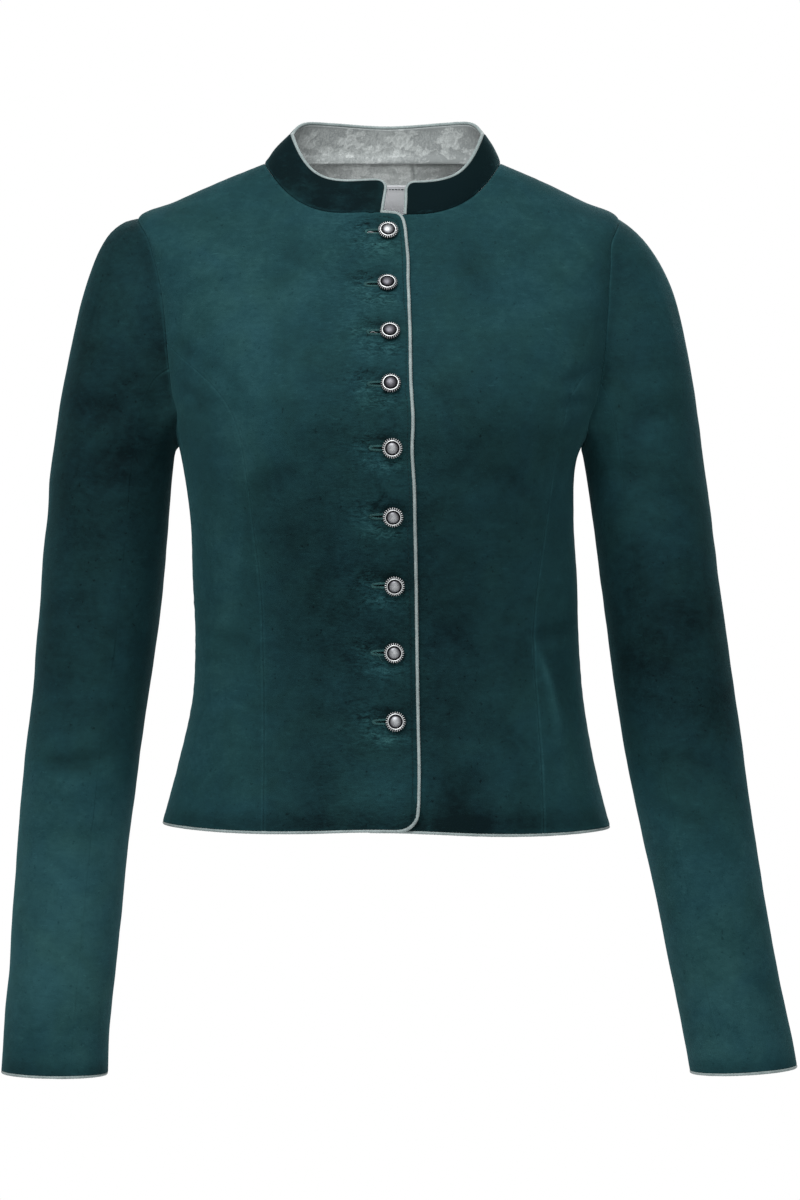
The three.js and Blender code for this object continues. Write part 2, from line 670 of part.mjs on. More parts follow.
function collarGrid(depth) {
  const angles = collarAngles();
  const last = angles.length - 1;
  const spine = evenly(COLLAR_ROWS).map((f) => angles.map((angle) => {
    const base = formPoint(angle, NECK);
    const sweep = Math.cos(angle) > 0 ? COLLAR_TOP.frontSweep : COLLAR_TOP.backSweep;
    const top = ringPoint(COLLAR_TOP, angle, sweep);
    top.z -= COLLAR_TOP.backDip * Math.max(0, -Math.cos(angle)) ** 3;
    const outward = new THREE.Vector3(Math.sin(angle), -Math.cos(angle), 0);
    return base.lerp(top, f).addScaledVector(outward, COLLAR_BOW * Math.sin(f * Math.PI));
  }));
  const normals = spine.map((row, r) => row.map((_, c) => {
    const around = row[Math.min(c + 1, last)].clone().sub(row[Math.max(c - 1, 0)]);
    const up = spine[Math.min(r + 1, COLLAR_ROWS)][c].clone().sub(spine[Math.max(r - 1, 0)][c]);
    return around.cross(up).normalize();
  }));
  return spine.map((row, r) => row.map((p, c) => {
    const fromEnd = Math.min(c, last - c);
    const lift = (c < last / 2 ? -1 : 1) * OVERLAP_LIFT * Math.max(0, 1 - fromEnd / 2);
    return p.clone().addScaledVector(normals[r][c], lift - depth);
  }));
}

// Takes the two upper front corners of the collar in, towards the points below and behind.
function roundCorners(grid) {
  const top = grid.length - 1;
  const last = grid[0].length - 1;
  for (const [c, next] of [[0, 1], [last, last - 1]]) {
    const corner = grid[top][c];
    const target = grid[top - 1][c].clone().lerp(grid[top][next], 0.35);
    corner.lerp(target, COLLAR_CORNER);
  }
  return grid;
}

function collarWall(depth, thickness) {
  const outer = drawIn(roundCorners(collarGrid(depth)), SEAM_GAP);
  const inner = drawIn(roundCorners(collarGrid(depth + thickness)), SEAM_GAP);
  return wallBetween(outer, inner);
}

function neckFacing() {
  const steps = 14;
  const rows = 4;
  const from = { angle: FACING_START * DEGREE, level: NECK };
  const to = { angle: (360 - FACING_START) * DEGREE, level: NECK };
  const top = spotsBetween(from, to, steps);
  const spots = evenly(rows).map((f) => top.map(({ angle }) => ({
    angle,
    level: NECK - (1 - f) * lerp(FACING_RINGS.shoulder, FACING_RINGS.back, Math.abs(Math.cos(angle))),
  })));
  const depth = SHELL + FACING_GAP;
  const layer = (more) => spots.map((row) => row.map((spot) => lifted(spot, -depth - more)));
  return wallBetween(drawIn(layer(0), SEAM_GAP), drawIn(layer(LINING), SEAM_GAP));
}

function neckPatch() {
  const columns = 4;
  const rows = 3;
  const depth = SHELL + FACING_GAP + LINING + 2 * SEAM_GAP;
  const spots = evenly(rows).map((f) => evenly(columns).map((g) => {
    const x = (0.5 - g) * PATCH_SIZE.width + ringAt(NECK).middleX + PATCH_SIZE.offset;
    const z = lerp(PATCH_SIZE.bottom, PATCH_SIZE.top, f);
    return spotAt(x, z, 'back');
  }));
  const layer = (more) => spots.map((row) => row.map((spot) => lifted(spot, -depth - more)));
  return wallBetween(layer(0), layer(PATCH));
}

// ---------------------------------------------------------------- piping

// A cord swept along a line of points.
function cordAlong(points, radius, step) {
  const path = new THREE.CatmullRomCurve3(points, false, 'centripetal');
  const corners = Array.from({ length: CORD_SIDES }, (_, i) => {
    const turn = (i + 0.5) / CORD_SIDES * 2 * Math.PI;
    return new THREE.Vector2(radius * Math.cos(turn), radius * Math.sin(turn));
  });
  const section = new THREE.Shape(corners);
  section.closePath();
  const steps = Math.round(path.getLength() / step);
  return new THREE.ExtrudeGeometry(section, { steps, extrudePath: path, bevelEnabled: false });
}

// Moves a line of points sideways, off the edge that it follows, and into the cloth by depth.
function beside(points, normals, distance, depth) {
  return points.map((p, i) => {
    const tangent = points[Math.min(i + 1, points.length - 1)].clone()
      .sub(points[Math.max(i - 1, 0)]).normalize();
    const outward = tangent.cross(normals[i]).normalize();
    return p.clone().addScaledVector(outward, distance).addScaledVector(normals[i], -depth);
  });
}

function collarPiping() {
  const grid = roundCorners(collarGrid(0));
  const top = grid.length - 1;
  const last = grid[0].length - 1;
  const line = [
    ...grid.slice(0, top).map((row) => row[0]),
    ...grid[top],
    ...grid.slice(0, top).reverse().map((row) => row[last]),
  ];
  const normals = line.map((p, i) => {
    const inside = new THREE.Vector3(COLLAR_TOP.middleX, COLLAR_TOP.sideY, p.z);
    return p.clone().sub(inside).normalize();
  });
  const thickness = SHELL + SEAM_GAP + LINING;
  const beyond = beside(line, normals, -(EDGE_PIPING + PIPING_GAP), thickness / 2);
  return cordAlong(beyond, EDGE_PIPING, EDGE_CORD_STEP);
}

function normalsOf(spots) {
  return spots.map((spot) => formNormal(spot.angle, spot.level));
}

const PIPED_CORNER = 3;          // grid steps of the hem that the rounded corner takes up

// From the collar's end round the throat corner, down the right front and round its hem corner.
function frontPiping(front) {
  const edgeColumn = FRONT_STEPS.length - 1;
  const rows = Array.from({ length: PANEL_ROWS }, (_, i) => PANEL_ROWS - i);
  const hemColumns = Array.from({ length: PIPED_CORNER }, (_, i) => edgeColumn - 1 - i);
  const take = (grid) => [...rows.map((r) => grid[r][edgeColumn]), grid[0][edgeColumn],
    ...hemColumns.map((c) => grid[0][c])];
  const line = beside(take(front.outer), normalsOf(take(front.spots)),
    -(EDGE_PIPING + PIPING_GAP), SHELL / 2);
  line[0].x += 2 * EDGE_PIPING + PIPING_GAP + SEAM_GAP;
  return cordAlong(line, EDGE_PIPING, EDGE_CORD_STEP);
}

// Round the hem, from the right front's corner by the back to the edge of the left front.
function hemPiping(panels) {
  const points = [];
  for (const { outer, spots } of panels) {
    const skipped = points.length ? 1 : PIPED_CORNER;
    for (let c = outer[0].length - 1 - skipped; c >= 0; c--) {
      const { angle, level } = spots[0][c];
      const inset = -SHELL / 2 - CORD_INSET;
      const p = outer[0][c].clone().addScaledVector(formNormal(angle, level), inset);
      p.z -= HEM_PIPING + SEAM_GAP;
      points.push(p);
    }
  }
  points[0].lerp(points[1], 0.1);
  return cordAlong(points, HEM_PIPING, HEM_CORD_STEP);
}

// Round a cuff, its two ends meeting at the underside.
function cuffPiping(sleeve) {
  const inset = -SHELL / 2 - CORD_INSET;
  const ring = sleeve.cuff.map((p, c) => (
    p.clone().addScaledVector(sleeve.cuffNormals[c], inset)));
  for (const p of ring) p.z -= HEM_PIPING + SEAM_GAP;
  const half = ring.length / 2;
  const opened = [...ring.slice(half), ...ring.slice(0, half)];
  const last = opened[opened.length - 1].clone().lerp(opened[0], 0.93);
  return cordAlong([...opened, last], HEM_PIPING, CUFF_CORD_STEP);
}

// ---------------------------------------------------------------- buttons

// Outline of a button from its shank to its dome, as [radius, height] over the cloth.
function buttonProfile(shankLength) {
  const r = BUTTON_RADIUS;
  return [
    [0, -shankLength], [SHANK_RADIUS, -shankLength], [SHANK_RADIUS, 0.5], [r * 0.6, 0.9],
    [r, 2.1], [r * 0.97, 2.9], [r * 0.72, 3.6], [r * 0.56, 2.9], [r * 0.34, 4.3], [0, 4.8],
  ].map(([radius, height]) => new THREE.Vector2(radius, height));
}

// First point of a solid on a ray.
function hit(geometry, from, direction) {
  const target = new THREE.Mesh(geometry, new THREE.MeshBasicMaterial({ side: THREE.DoubleSide }));
  target.updateMatrixWorld();
  return new THREE.Raycaster(from, direction).intersectObject(target)[0].point;
}

function buttonPlace(row, rightFront, leftFront) {
  const spot = spotAt(row.x, row.z, 'front');
  const normal = formNormal(spot.angle, spot.level);
  const far = lifted(spot, 20);
  const inward = normal.clone().negate();
  const onRight = hit(rightFront, far, inward);
  const onLeft = hit(leftFront, far, inward);
  return { normal, base: onRight, reach: onRight.distanceTo(onLeft) };
}

function buttonMesh(place) {
  const profile = buttonProfile(place.reach - 2 * SEAM_GAP);
  const geometry = new THREE.LatheGeometry(profile, 12);
  const up = new THREE.Vector3(0, 1, 0);
  geometry.applyQuaternion(new THREE.Quaternion().setFromUnitVectors(up, place.normal));
  geometry.translate(...place.base.clone().addScaledVector(place.normal, SEAM_GAP).toArray());
  return geometry;
}

// ---------------------------------------------------------------- buttonholes

const wasm = await Module();
wasm.setup();

function toSolid(geometry) {
  const bare = geometry.clone();
  bare.deleteAttribute('normal');
  bare.deleteAttribute('uv');
  const merged = mergeVertices(bare, 1e-4);
  return new wasm.Manifold(new wasm.Mesh({
    numProp: 3,
    vertProperties: new Float32Array(merged.attributes.position.array),
    triVerts: new Uint32Array(merged.index.array),
  }));
}

function toGeometry(solid) {
  const mesh = solid.getMesh();
  const geometry = new THREE.BufferGeometry();
  geometry.setAttribute('position', new THREE.BufferAttribute(mesh.vertProperties, 3));
  geometry.setIndex(new THREE.BufferAttribute(mesh.triVerts, 1));
  geometry.computeVertexNormals();
  return geometry;
}

// The slit that a shank stands in. It runs from the button towards the wearer's right.
function buttonholeSlit(place) {
  const length = BUTTONHOLE.toTheRight + BUTTONHOLE.toTheLeft;
  const slit = new THREE.BoxGeometry(length, BUTTONHOLE.height, 4 * SHELL);
  const across = new THREE.Vector3(1, 0, 0).cross(place.normal).normalize();
  const along = place.normal.clone().cross(across);
  const turn = new THREE.Matrix4().makeBasis(along, across.clone().negate(), place.normal);
  slit.applyMatrix4(turn);
  const middle = place.base.clone().addScaledVector(along, BUTTONHOLE.toTheLeft - length / 2);
  slit.translate(...middle.toArray());
  return slit;
}

function withButtonholes(front, places) {
  let solid = toSolid(front);
  for (const place of places) solid = solid.subtract(toSolid(buttonholeSlit(place)));
  return toGeometry(solid);
}

// ---------------------------------------------------------------- the blazer

const VELVET = { color: 0x1d474b, roughness: 0.9, metalness: 0 };
const BROCADE = { color: 0x9aa2a1, roughness: 0.5, metalness: 0 };
const WOVEN_PATCH = { color: 0xa9aeb2, roughness: 0.6, metalness: 0 };
const SATIN = { color: 0x9ca5a4, roughness: 0.4, metalness: 0 };
const SILVER = { color: 0xb4b6b4, roughness: 0.35, metalness: 0.9 };

const blazer = new THREE.Group();

function add(name, geometry, finish) {
  const mesh = new THREE.Mesh(geometry, new THREE.MeshStandardMaterial(finish));
  mesh.name = name;
  blazer.add(mesh);
}

const panels = {};
for (const side of ['right', 'left']) {
  panels[side] = {
    front: centreFront(side),
    sideFront: sidePanel(side, 'front'),
    sideBack: sidePanel(side, 'back'),
    back: centreBack(side),
  };
}

const places = BUTTONS.map((row) => (
  buttonPlace(row, panels.right.front.geometry, panels.left.front.geometry)));
add('front_right', withButtonholes(panels.right.front.geometry, places), VELVET);
add('front_left', panels.left.front.geometry, VELVET);
places.forEach((place, i) => add(`button_${i + 1}`, buttonMesh(place), SILVER));

for (const side of ['right', 'left']) {
  add(`side_front_${side}`, panels[side].sideFront.geometry, VELVET);
  add(`side_back_${side}`, panels[side].sideBack.geometry, VELVET);
  add(`back_${side}`, panels[side].back.geometry, VELVET);
  const sleeve = sleevePieces(side);
  add(`sleeve_upper_${side}`, sleeve.upper, VELVET);
  add(`sleeve_under_${side}`, sleeve.under, VELVET);
  add(`cuff_piping_${side}`, cuffPiping(sleeve), SATIN);
}

add('collar_outer', collarWall(0, SHELL), VELVET);
add('collar_lining', collarWall(SHELL + SEAM_GAP, LINING), BROCADE);
add('collar_piping', collarPiping(), SATIN);
add('neck_facing', neckFacing(), BROCADE);
add('neck_patch', neckPatch(), WOVEN_PATCH);
add('front_piping', frontPiping(panels.right.front), SATIN);
const { right, left } = panels;
const hemOrder = [right.front, right.sideFront, right.sideBack, right.back,
  left.back, left.sideBack, left.sideFront, left.front];
add('hem_piping', hemPiping(hemOrder), SATIN);

export default blazer;
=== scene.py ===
# %% [markdown]
# # A velvet trachten blazer that stands as if somebody wore it
#
# A trachten blazer is a short fitted jacket: two fronts that lap over each other, two backs,
# four side panels, two-piece sleeves and a stand collar. This lesson dresses a imported CAD
# frame of it. The frame says where every piece is, and the cells below make the pieces again,
# finer, as cloth: with rolled edges, creases, a nap, piping, stitches and real buttons.

# %% Load the frame
import json
import math
from functools import partial

import bmesh
import bpy
import numpy as np
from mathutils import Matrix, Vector

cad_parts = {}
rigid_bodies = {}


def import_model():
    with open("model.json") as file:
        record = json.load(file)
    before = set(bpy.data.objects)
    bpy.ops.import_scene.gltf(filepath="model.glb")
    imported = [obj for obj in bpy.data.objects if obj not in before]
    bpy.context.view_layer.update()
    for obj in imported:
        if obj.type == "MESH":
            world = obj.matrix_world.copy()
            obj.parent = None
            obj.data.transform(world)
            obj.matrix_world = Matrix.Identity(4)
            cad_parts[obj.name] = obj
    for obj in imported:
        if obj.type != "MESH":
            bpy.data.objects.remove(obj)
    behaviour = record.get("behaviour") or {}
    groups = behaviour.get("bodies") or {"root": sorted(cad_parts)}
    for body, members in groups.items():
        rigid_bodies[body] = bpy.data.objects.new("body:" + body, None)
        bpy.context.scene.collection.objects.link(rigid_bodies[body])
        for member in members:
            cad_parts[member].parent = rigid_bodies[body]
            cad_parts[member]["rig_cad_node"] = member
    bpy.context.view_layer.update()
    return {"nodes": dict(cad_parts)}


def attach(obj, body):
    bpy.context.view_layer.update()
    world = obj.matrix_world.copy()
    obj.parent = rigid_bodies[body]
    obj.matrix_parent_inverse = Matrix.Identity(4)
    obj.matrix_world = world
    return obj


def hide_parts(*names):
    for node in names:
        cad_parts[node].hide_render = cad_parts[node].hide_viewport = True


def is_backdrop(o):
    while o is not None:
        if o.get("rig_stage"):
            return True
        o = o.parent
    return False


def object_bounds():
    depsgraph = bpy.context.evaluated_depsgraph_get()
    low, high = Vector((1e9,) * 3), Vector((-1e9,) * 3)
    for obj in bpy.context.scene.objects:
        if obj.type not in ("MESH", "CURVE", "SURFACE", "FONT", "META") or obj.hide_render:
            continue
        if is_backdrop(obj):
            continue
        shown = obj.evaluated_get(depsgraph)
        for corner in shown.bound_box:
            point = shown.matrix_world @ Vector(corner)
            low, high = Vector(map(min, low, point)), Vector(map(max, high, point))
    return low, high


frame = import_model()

print("CAD nodes:", len(frame["nodes"]))

# %% [markdown]
# ## The camera comes first
#
# A long lens far away flattens a garment gently, which is how clothes are usually shown. The
# camera looks straight along +Y at the middle of the jacket's height, and its view is upright.
# The lens follows from how much height should fit in the view at that distance.

# %% Camera
EYE = Vector((0.01043, -3.5, -0.32557))    # metres
VIEW_HEIGHT = 0.894                        # what fits in the view at the depth of the origin
VIEW_DEPTH = 60                            # metres, more than from the lens to the floor's end
SENSOR = 24.0                              # millimetres, measured upright


def new_object(name, data):
    """An object in the scene that shows a mesh, a light or a lens."""
    made = bpy.data.objects.new(name, data)
    bpy.context.scene.collection.objects.link(made)
    return made


lens = bpy.data.cameras.new("camera")
lens.sensor_fit = "VERTICAL"
lens.sensor_height = SENSOR
lens.lens = SENSOR * -EYE.y / VIEW_HEIGHT
lens.clip_end = VIEW_DEPTH
camera = new_object("camera", lens)
camera.location = EYE
camera.rotation_euler = (math.radians(90), 0, 0)
bpy.context.scene.camera = camera
print("lens, mm:", round(lens.lens, 2))

# %% [markdown]
# ## A pale floor and soft studio light
#
# A worn jacket is more than a metre above the ground, so the floor lies that far below and
# stays out of the camera's view. The light comes from a large softbox high in front, which
# brightens what leans upwards (shoulders and chest) and leaves the waist deeper, with a weak
# one low in front for the sleeves. The world is white where the camera sees it, and dimmer as
# a light, so that dark velvet keeps its depth.

# %% Floor, lights and world
FLOOR_HEIGHT = -1.40
FLOOR_HALF = 2.6

floor_mesh = bpy.data.meshes.new("floor")
corners = [(-1, -1), (1, -1), (1, 1), (-1, 1)]
floor_mesh.from_pydata([(x * FLOOR_HALF, y * FLOOR_HALF, FLOOR_HEIGHT) for x, y in corners],
                       [], [(0, 1, 2, 3)])
floor = new_object("floor", floor_mesh)
floor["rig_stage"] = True


def softbox(name, place, aim, size, watts):
    """A square area light at place that looks at aim."""
    light = bpy.data.lights.new(name, "AREA")
    light.shape = "SQUARE"
    light.size = size
    light.energy = watts
    lamp = new_object(name, light)
    lamp.location = place
    lamp.rotation_euler = (Vector(aim) - Vector(place)).to_track_quat("-Z", "Y").to_euler()


CHEST = (0, 0, -0.25)
softbox("light_high", (-0.5, -1.9, 1.9), CHEST, 1.6, 108)
softbox("light_low", (0.3, -2.8, -0.7), (0, 0, -0.4), 1.8, 18)
softbox("light_back", (0.4, 2.6, 1.2), CHEST, 2.2, 70)


def add_node(tree, kind, inputs=None, **settings):
    """A node of a tree. An input's value may be a number, a vector or another node's socket."""
    made = tree.nodes.new(kind)
    for name, value in settings.items():
        setattr(made, name, value)
    for name, value in (inputs or {}).items():
        socket = made.inputs[name]
        if isinstance(value, bpy.types.NodeSocket):
            tree.links.new(value, socket)
        else:
            socket.default_value = value
    return made


def output_of(tree, kind, inputs=None, **settings):
    return add_node(tree, kind, inputs, **settings).outputs[0]


def new_material(name, **shader):
    """A material with one Principled shader. Returns it, its tree and the shader's inputs."""
    material = bpy.data.materials.new(name)
    material.use_nodes = True
    tree = material.node_tree
    tree.nodes.clear()
    surface = add_node(tree, "ShaderNodeBsdfPrincipled",
                       {key.replace("_", " "): value for key, value in shader.items()})
    add_node(tree, "ShaderNodeOutputMaterial", {"Surface": surface.outputs[0]})
    return material, tree, surface.inputs


WHITE = (1.0, 1.0, 1.0, 1.0)
PALE = (0.8, 0.8, 0.8, 1.0)
AMBIENT = 0.42                # the world's strength as a light
world = bpy.data.worlds.new("world")
world.use_nodes = True
air = world.node_tree
air.nodes.clear()
seen, lit = (output_of(air, "ShaderNodeBackground", {"Color": WHITE, "Strength": strength})
             for strength in (1.0, AMBIENT))
to_camera = add_node(air, "ShaderNodeLightPath").outputs["Is Camera Ray"]
mixed = output_of(air, "ShaderNodeMixShader", {0: to_camera, 1: lit, 2: seen})
add_node(air, "ShaderNodeOutputWorld", {"Surface": mixed})
bpy.context.scene.world = world
bpy.context.scene.view_settings.view_transform = "Standard"
floor.data.materials.append(new_material("pale_floor", Base_Color=PALE, Roughness=0.9)[0])

# %% [markdown]
# ## The sizes of the jacket
#
# The tables are the pattern. The body is a stack of rings, each with its height, depth and
# width; seams are short lists of heights and distances from the middle; sleeves are rings
# between an outer and an inner point. They are in millimetres, as the CAD part has them, and
# one factor turns them into Blender's metres when a mesh is made.

# %% Sizes
MM = 0.001
SHELL = 1.8               # velvet with its interlining
LINING = 1.0              # brocade
PATCH = 0.6
SEAM_GAP = 0.3            # between two layers that are sewn together
FACING_GAP = 1.0          # and behind the facing, which hangs loosely
OVERLAP_LIFT = 1.5        # how far each front leaves the form where they lap
UNDERLAP = 34             # how far the left front reaches under the right one
EDGE_CORD = 1.3           # radius of the cord on collar and front edge
HEM_CORD = 1.2            # and of the one at hem and cuffs
HEM_CORNER = 14           # radius of the right front's hem corner


def table(columns, *rows):
    """Named columns of numbers."""
    return {name: np.array([row[i] for row in rows], float)
            for i, name in enumerate(columns.split())}


BODY = table(
    "front_z side_z back_z middle_x half_width front_y side_y back_y square",
    (-494, -494, -494, 0.2, 166.4, -114, 2, 117, 2.20),
    (-450, -450, -450, 0.4, 155.2, -107, 0, 105, 2.20),
    (-400, -400, -400, 1.4, 145.4, -101, -5, 91, 2.20),
    (-355, -355, -355, 0.8, 142.4, -102, -9, 83, 2.20),
    (-310, -310, -310, -0.8, 142.6, -112, -10, 86, 2.25),
    (-265, -265, -265, -2.9, 142.2, -127, -10, 94, 2.30),
    (-225, -222, -222, -5.0, 146.4, -136, -8, 102, 2.40),
    (-193, -190, -186, -1.4, 158.0, -137, -5, 107, 2.45),
    (-166, -150, -142, -0.8, 167.0, -130, -2, 110, 2.45),
    (-138, -105, -98, -1.2, 172.6, -116, 1, 105, 2.40),
    (-112, -66, -62, -3.2, 177.0, -99, 4, 96, 2.35),
    (-92, -40.6, -37, -5.8, 178.6, -85, 6, 85, 2.30),
    (-74, -28.5, -22, -5.0, 152.5, -74, 7, 75, 2.25),
    (-57, -14, -7, -3.6, 121.5, -63, 7, 66, 2.20),
    (-42, 0, 6, -2.6, 88.2, -55, 7, 57, 2.15))
NECK, SHOULDER, UNDERARM = 14, 11, 6.32      # levels, counted in rings of the body
SWEEP = 4
HEM_RISE, HEM_SLANT, HEM_WAVE = 2.4, 1.6, 2.6
BUST = dict(offset=76, height=-192, spread_x=44, spread_z=46, amount=7)
SHOULDER_BLADE = dict(offset=72, height=-120, spread_x=42, spread_z=52, amount=5)

SEAM_COLUMNS = "right_z right_x left_z left_x"
FRONT_PRINCESS = table(
    SEAM_COLUMNS,
    (-494, -88.8, -494, 115.0), (-446, -88.3, -446, 113.8), (-362, -89.2, -363, 108.1),
    (-312, -91.1, -323, 109.4), (-253, -98.1, -279, 115.7), (-226, -101.6, -235, 121.4),
    (-207, -104.8, -203, 127.0), (-178, -118.2, -179, 133.4), (-153, -144.0, -162, 145.6),
    (-137, -161.2, -149, 160.8))
BACK_PRINCESS = table(
    SEAM_COLUMNS,
    (-494, -92, -494, 92), (-430, -82, -430, 84), (-355, -74, -355, 77), (-290, -80, -290, 80),
    (-225, -96, -225, 90), (-185, -116, -185, 108), (-150, -144, -150, 137),
    (-124, -165.4, -124, 161.0))
FRONT_ARMHOLE = table(
    SEAM_COLUMNS,
    (-60, -175.4, -58, 167.8), (-76.5, -170.4, -78, 165.6), (-93, -166.2, -98, 164.2),
    (-113, -163.4, -116, 163.2), (-137, -161.2, -149, 160.8), (-160, -158.8, -170, 157.2),
    (-182, -155.6, -188, 152.6), (-199, -152.0, -202, 146.4))
BACK_ARMHOLE = table(
    SEAM_COLUMNS,
    (-60, -175.6, -58, 166.8), (-80, -171.2, -80, 164.8), (-100, -168.0, -100, 162.6),
    (-124, -165.4, -124, 161.0), (-150, -162.0, -150, 158.0), (-176, -157.4, -176, 153.4),
    (-198, -151.6, -198, 146.0))
SEAM_MEETING = {"front": 4, "back": 3}       # the armhole's row where the princess seam ends
FRONT_EDGE = table(
    "z x",
    (-482, 22.6), (-463, 23.4), (-390, 22.2), (-300, 20.9), (-210, 18.6), (-137, 16.7),
    (-80, 15.2), (-55, 13.4), (-47.5, 11.8), (-43.2, 8.0))
LEFT_THROAT = (-49, -43)                     # heights of the left front's throat corner
BUTTONS = table(
    "x z",
    (1.7, -57.1), (1.3, -97.1), (3.2, -133.6), (3.9, -171.3), (5.0, -216.7),
    (5.4, -265.3), (6.5, -314.7), (6.1, -363.7), (7.2, -414.3))
BUTTON_PLACES = list(zip(*BUTTONS.values()))
COLLAR_TOP = dict(
    front_z=-17.5, side_z=22, back_z=33.2, middle_x=1.0, half_width=72.8,
    front_y=-46, side_y=5, back_y=47, square=2.3)
COLLAR_SWEEP = {"front": 5.5, "back": 16}
COLLAR_DIP = 2.6
COLLAR_BOW = 1.2
COLLAR_ENDS = {"right": -4.0, "left": 15.6}
SLEEVE_COLUMNS = "outer_x outer_z inner_x inner_z front_y back_y middle_y"
SLEEVES = {
    "right": table(
        SLEEVE_COLUMNS,
        (-196, -44.4, -156.2, -214.5, 53, 52, 0), (-208, -55.4, -157.0, -216.5, 54.5, 54, 0),
        (-218, -75, -157.6, -219, 55.5, 55, 0), (-226, -101, -158.0, -222, 55.5, 55, 0),
        (-235, -140, -158.6, -227, 54.5, 54.5, 0), (-243.5, -185, -159.4, -235, 53.5, 54, 0),
        (-249, -226, -160.6, -250, 52.5, 53.5, 0), (-253.5, -274, -163.2, -284, 51, 52.5, 0),
        (-258.2, -335, -168.8, -341, 49, 51, 0), (-263.7, -400, -178.0, -404, 47, 49.5, 0),
        (-270.6, -463, -186.4, -466, 45.5, 46.5, -4), (-275.2, -530, -193.6, -532, 43.5, 44, -10),
        (-279.4, -600, -200.8, -602, 41.5, 41, -18), (-282.6, -645, -204.4, -647, 39.5, 39, -24),
        (-284.2, -673, -205.6, -674.5, 39, 38.5, -28)),
    "left": table(
        SLEEVE_COLUMNS,
        (182, -47.4, 145.4, -214.5, 53, 52, 0), (192.5, -58, 146.0, -216.5, 54.5, 54, 0),
        (205, -77, 146.6, -219, 55.5, 55, 0), (216, -103, 147.2, -222, 55.5, 55, 0),
        (225, -141, 148.0, -227, 54.5, 54.5, 0), (232, -186, 149.4, -236, 53.5, 54, 0),
        (237, -226, 151.6, -252, 52.5, 53.5, 0), (243.2, -274, 156.4, -286, 51, 52.5, 0),
        (251.4, -335, 163.6, -342, 49, 51, 0), (260.6, -400, 172.2, -405, 47, 49.5, 0),
        (268.6, -463, 183.4, -467, 45.5, 46.5, -4), (278.6, -530, 197.6, -533, 43.5, 44, -10),
        (290.6, -600, 211.4, -603, 41.5, 41, -18), (299.2, -643, 220.0, -647, 39.5, 39, -24),
        (303.8, -669, 224.6, -673.5, 39, 38.5, -28)),
}
ARMHOLE_FADE = (0.8, 0.6, 0.4, 0.22, 0.1)    # how much of its shape the first rings keep
SLEEVE_SEAMS = (7, 13)
print("rings of the body:", NECK + 1, "| buttons:", len(BUTTON_PLACES))

# %% [markdown]
# ## The body as one smooth form
#
# A point of the body has two numbers: an angle round it (0 at the centre front, 90 degrees at
# the wearer's left side) and a level, which counts rings upwards. Between rings the sizes run
# on a smooth curve. Numpy works on whole grids of points at once, so thousands of points cost
# one call.

# %% Smooth curves and the form


def lerp(a, b, share):
    return a + (b - a) * share


def curve(p0, p1, p2, p3, f):
    """The place at the share f from p1 to p2 on a smooth curve through four places."""
    slope1, slope2, rise = (p2 - p0) / 2, (p3 - p1) / 2, p2 - p1
    c = 3 * rise - 2 * slope1 - slope2
    d = slope1 + slope2 - 2 * rise
    return p1 + f * (slope1 + f * (c + f * d))


def smooth(values, at):
    """A smooth curve through evenly spaced values, numbers or points."""
    values = np.asarray(values, float)
    at = np.asarray(at, float)
    last = len(values) - 1
    i = np.clip(np.floor(at).astype(int), 0, last - 1)
    shape = i.shape + (1,) * (values.ndim - 1)
    inner = i.reshape(shape)
    p1, p2 = values[i], values[i + 1]
    p0 = np.where(inner > 0, values[np.maximum(i - 1, 0)], 2 * p1 - p2)
    p3 = np.where(inner + 2 <= last, values[np.minimum(i + 2, last)], 2 * p2 - p1)
    return curve(p0, p1, p2, p3, (at - i).reshape(shape))


def ring_at(level):
    return {name: smooth(values, level) for name, values in BODY.items()}


def ring_point(ring, angle, sweep):
    """The point of a ring at an angle. sweep says how late its height leaves the front's."""
    front = np.cos(angle) > 0
    depth = np.where(front, ring["side_y"] - ring["front_y"], ring["back_y"] - ring["side_y"])
    across = np.abs(np.sin(angle)) / ring["half_width"]
    along = np.abs(np.cos(angle)) / depth
    radius = (across ** ring["square"] + along ** ring["square"]) ** (-1 / ring["square"])
    share = np.minimum(1, radius * across)
    end = np.where(front, ring["front_z"], ring["back_z"])
    return np.stack([ring["middle_x"] + radius * np.sin(angle),
                     ring["side_y"] - radius * np.cos(angle),
                     lerp(end, ring["side_z"], share ** sweep)], axis=-1)


def form_point(spots):
    """Points of the body form. spots holds an angle and a level each."""
    angle, level = spots[..., 0], spots[..., 1]
    ring = ring_at(level)
    point = ring_point(ring, angle, SWEEP)
    front = np.cos(angle) > 0
    for swell, facing in ((BUST, front), (SHOULDER_BLADE, ~front)):
        across = (np.abs(point[..., 0] - ring["middle_x"]) - swell["offset"]) / swell["spread_x"]
        up = (point[..., 2] - swell["height"]) / swell["spread_z"]
        push = swell["amount"] * np.exp(-across ** 2 - up ** 2) * np.abs(np.cos(angle)) ** 0.5
        point[..., 1] += np.where(facing, np.where(front, -push, push), 0)
    near_hem = np.maximum(0, 1 - level / 2)
    point[..., 2] += near_hem * (HEM_RISE - HEM_SLANT * np.sin(angle)
                                 - HEM_WAVE * np.sin(2 * angle) ** 2)
    return point


def unit(vectors):
    return vectors / np.maximum(np.linalg.norm(vectors, axis=-1, keepdims=True), 1e-9)


FORM_STEP = 0.01               # radians and rings between neighbours, for normals


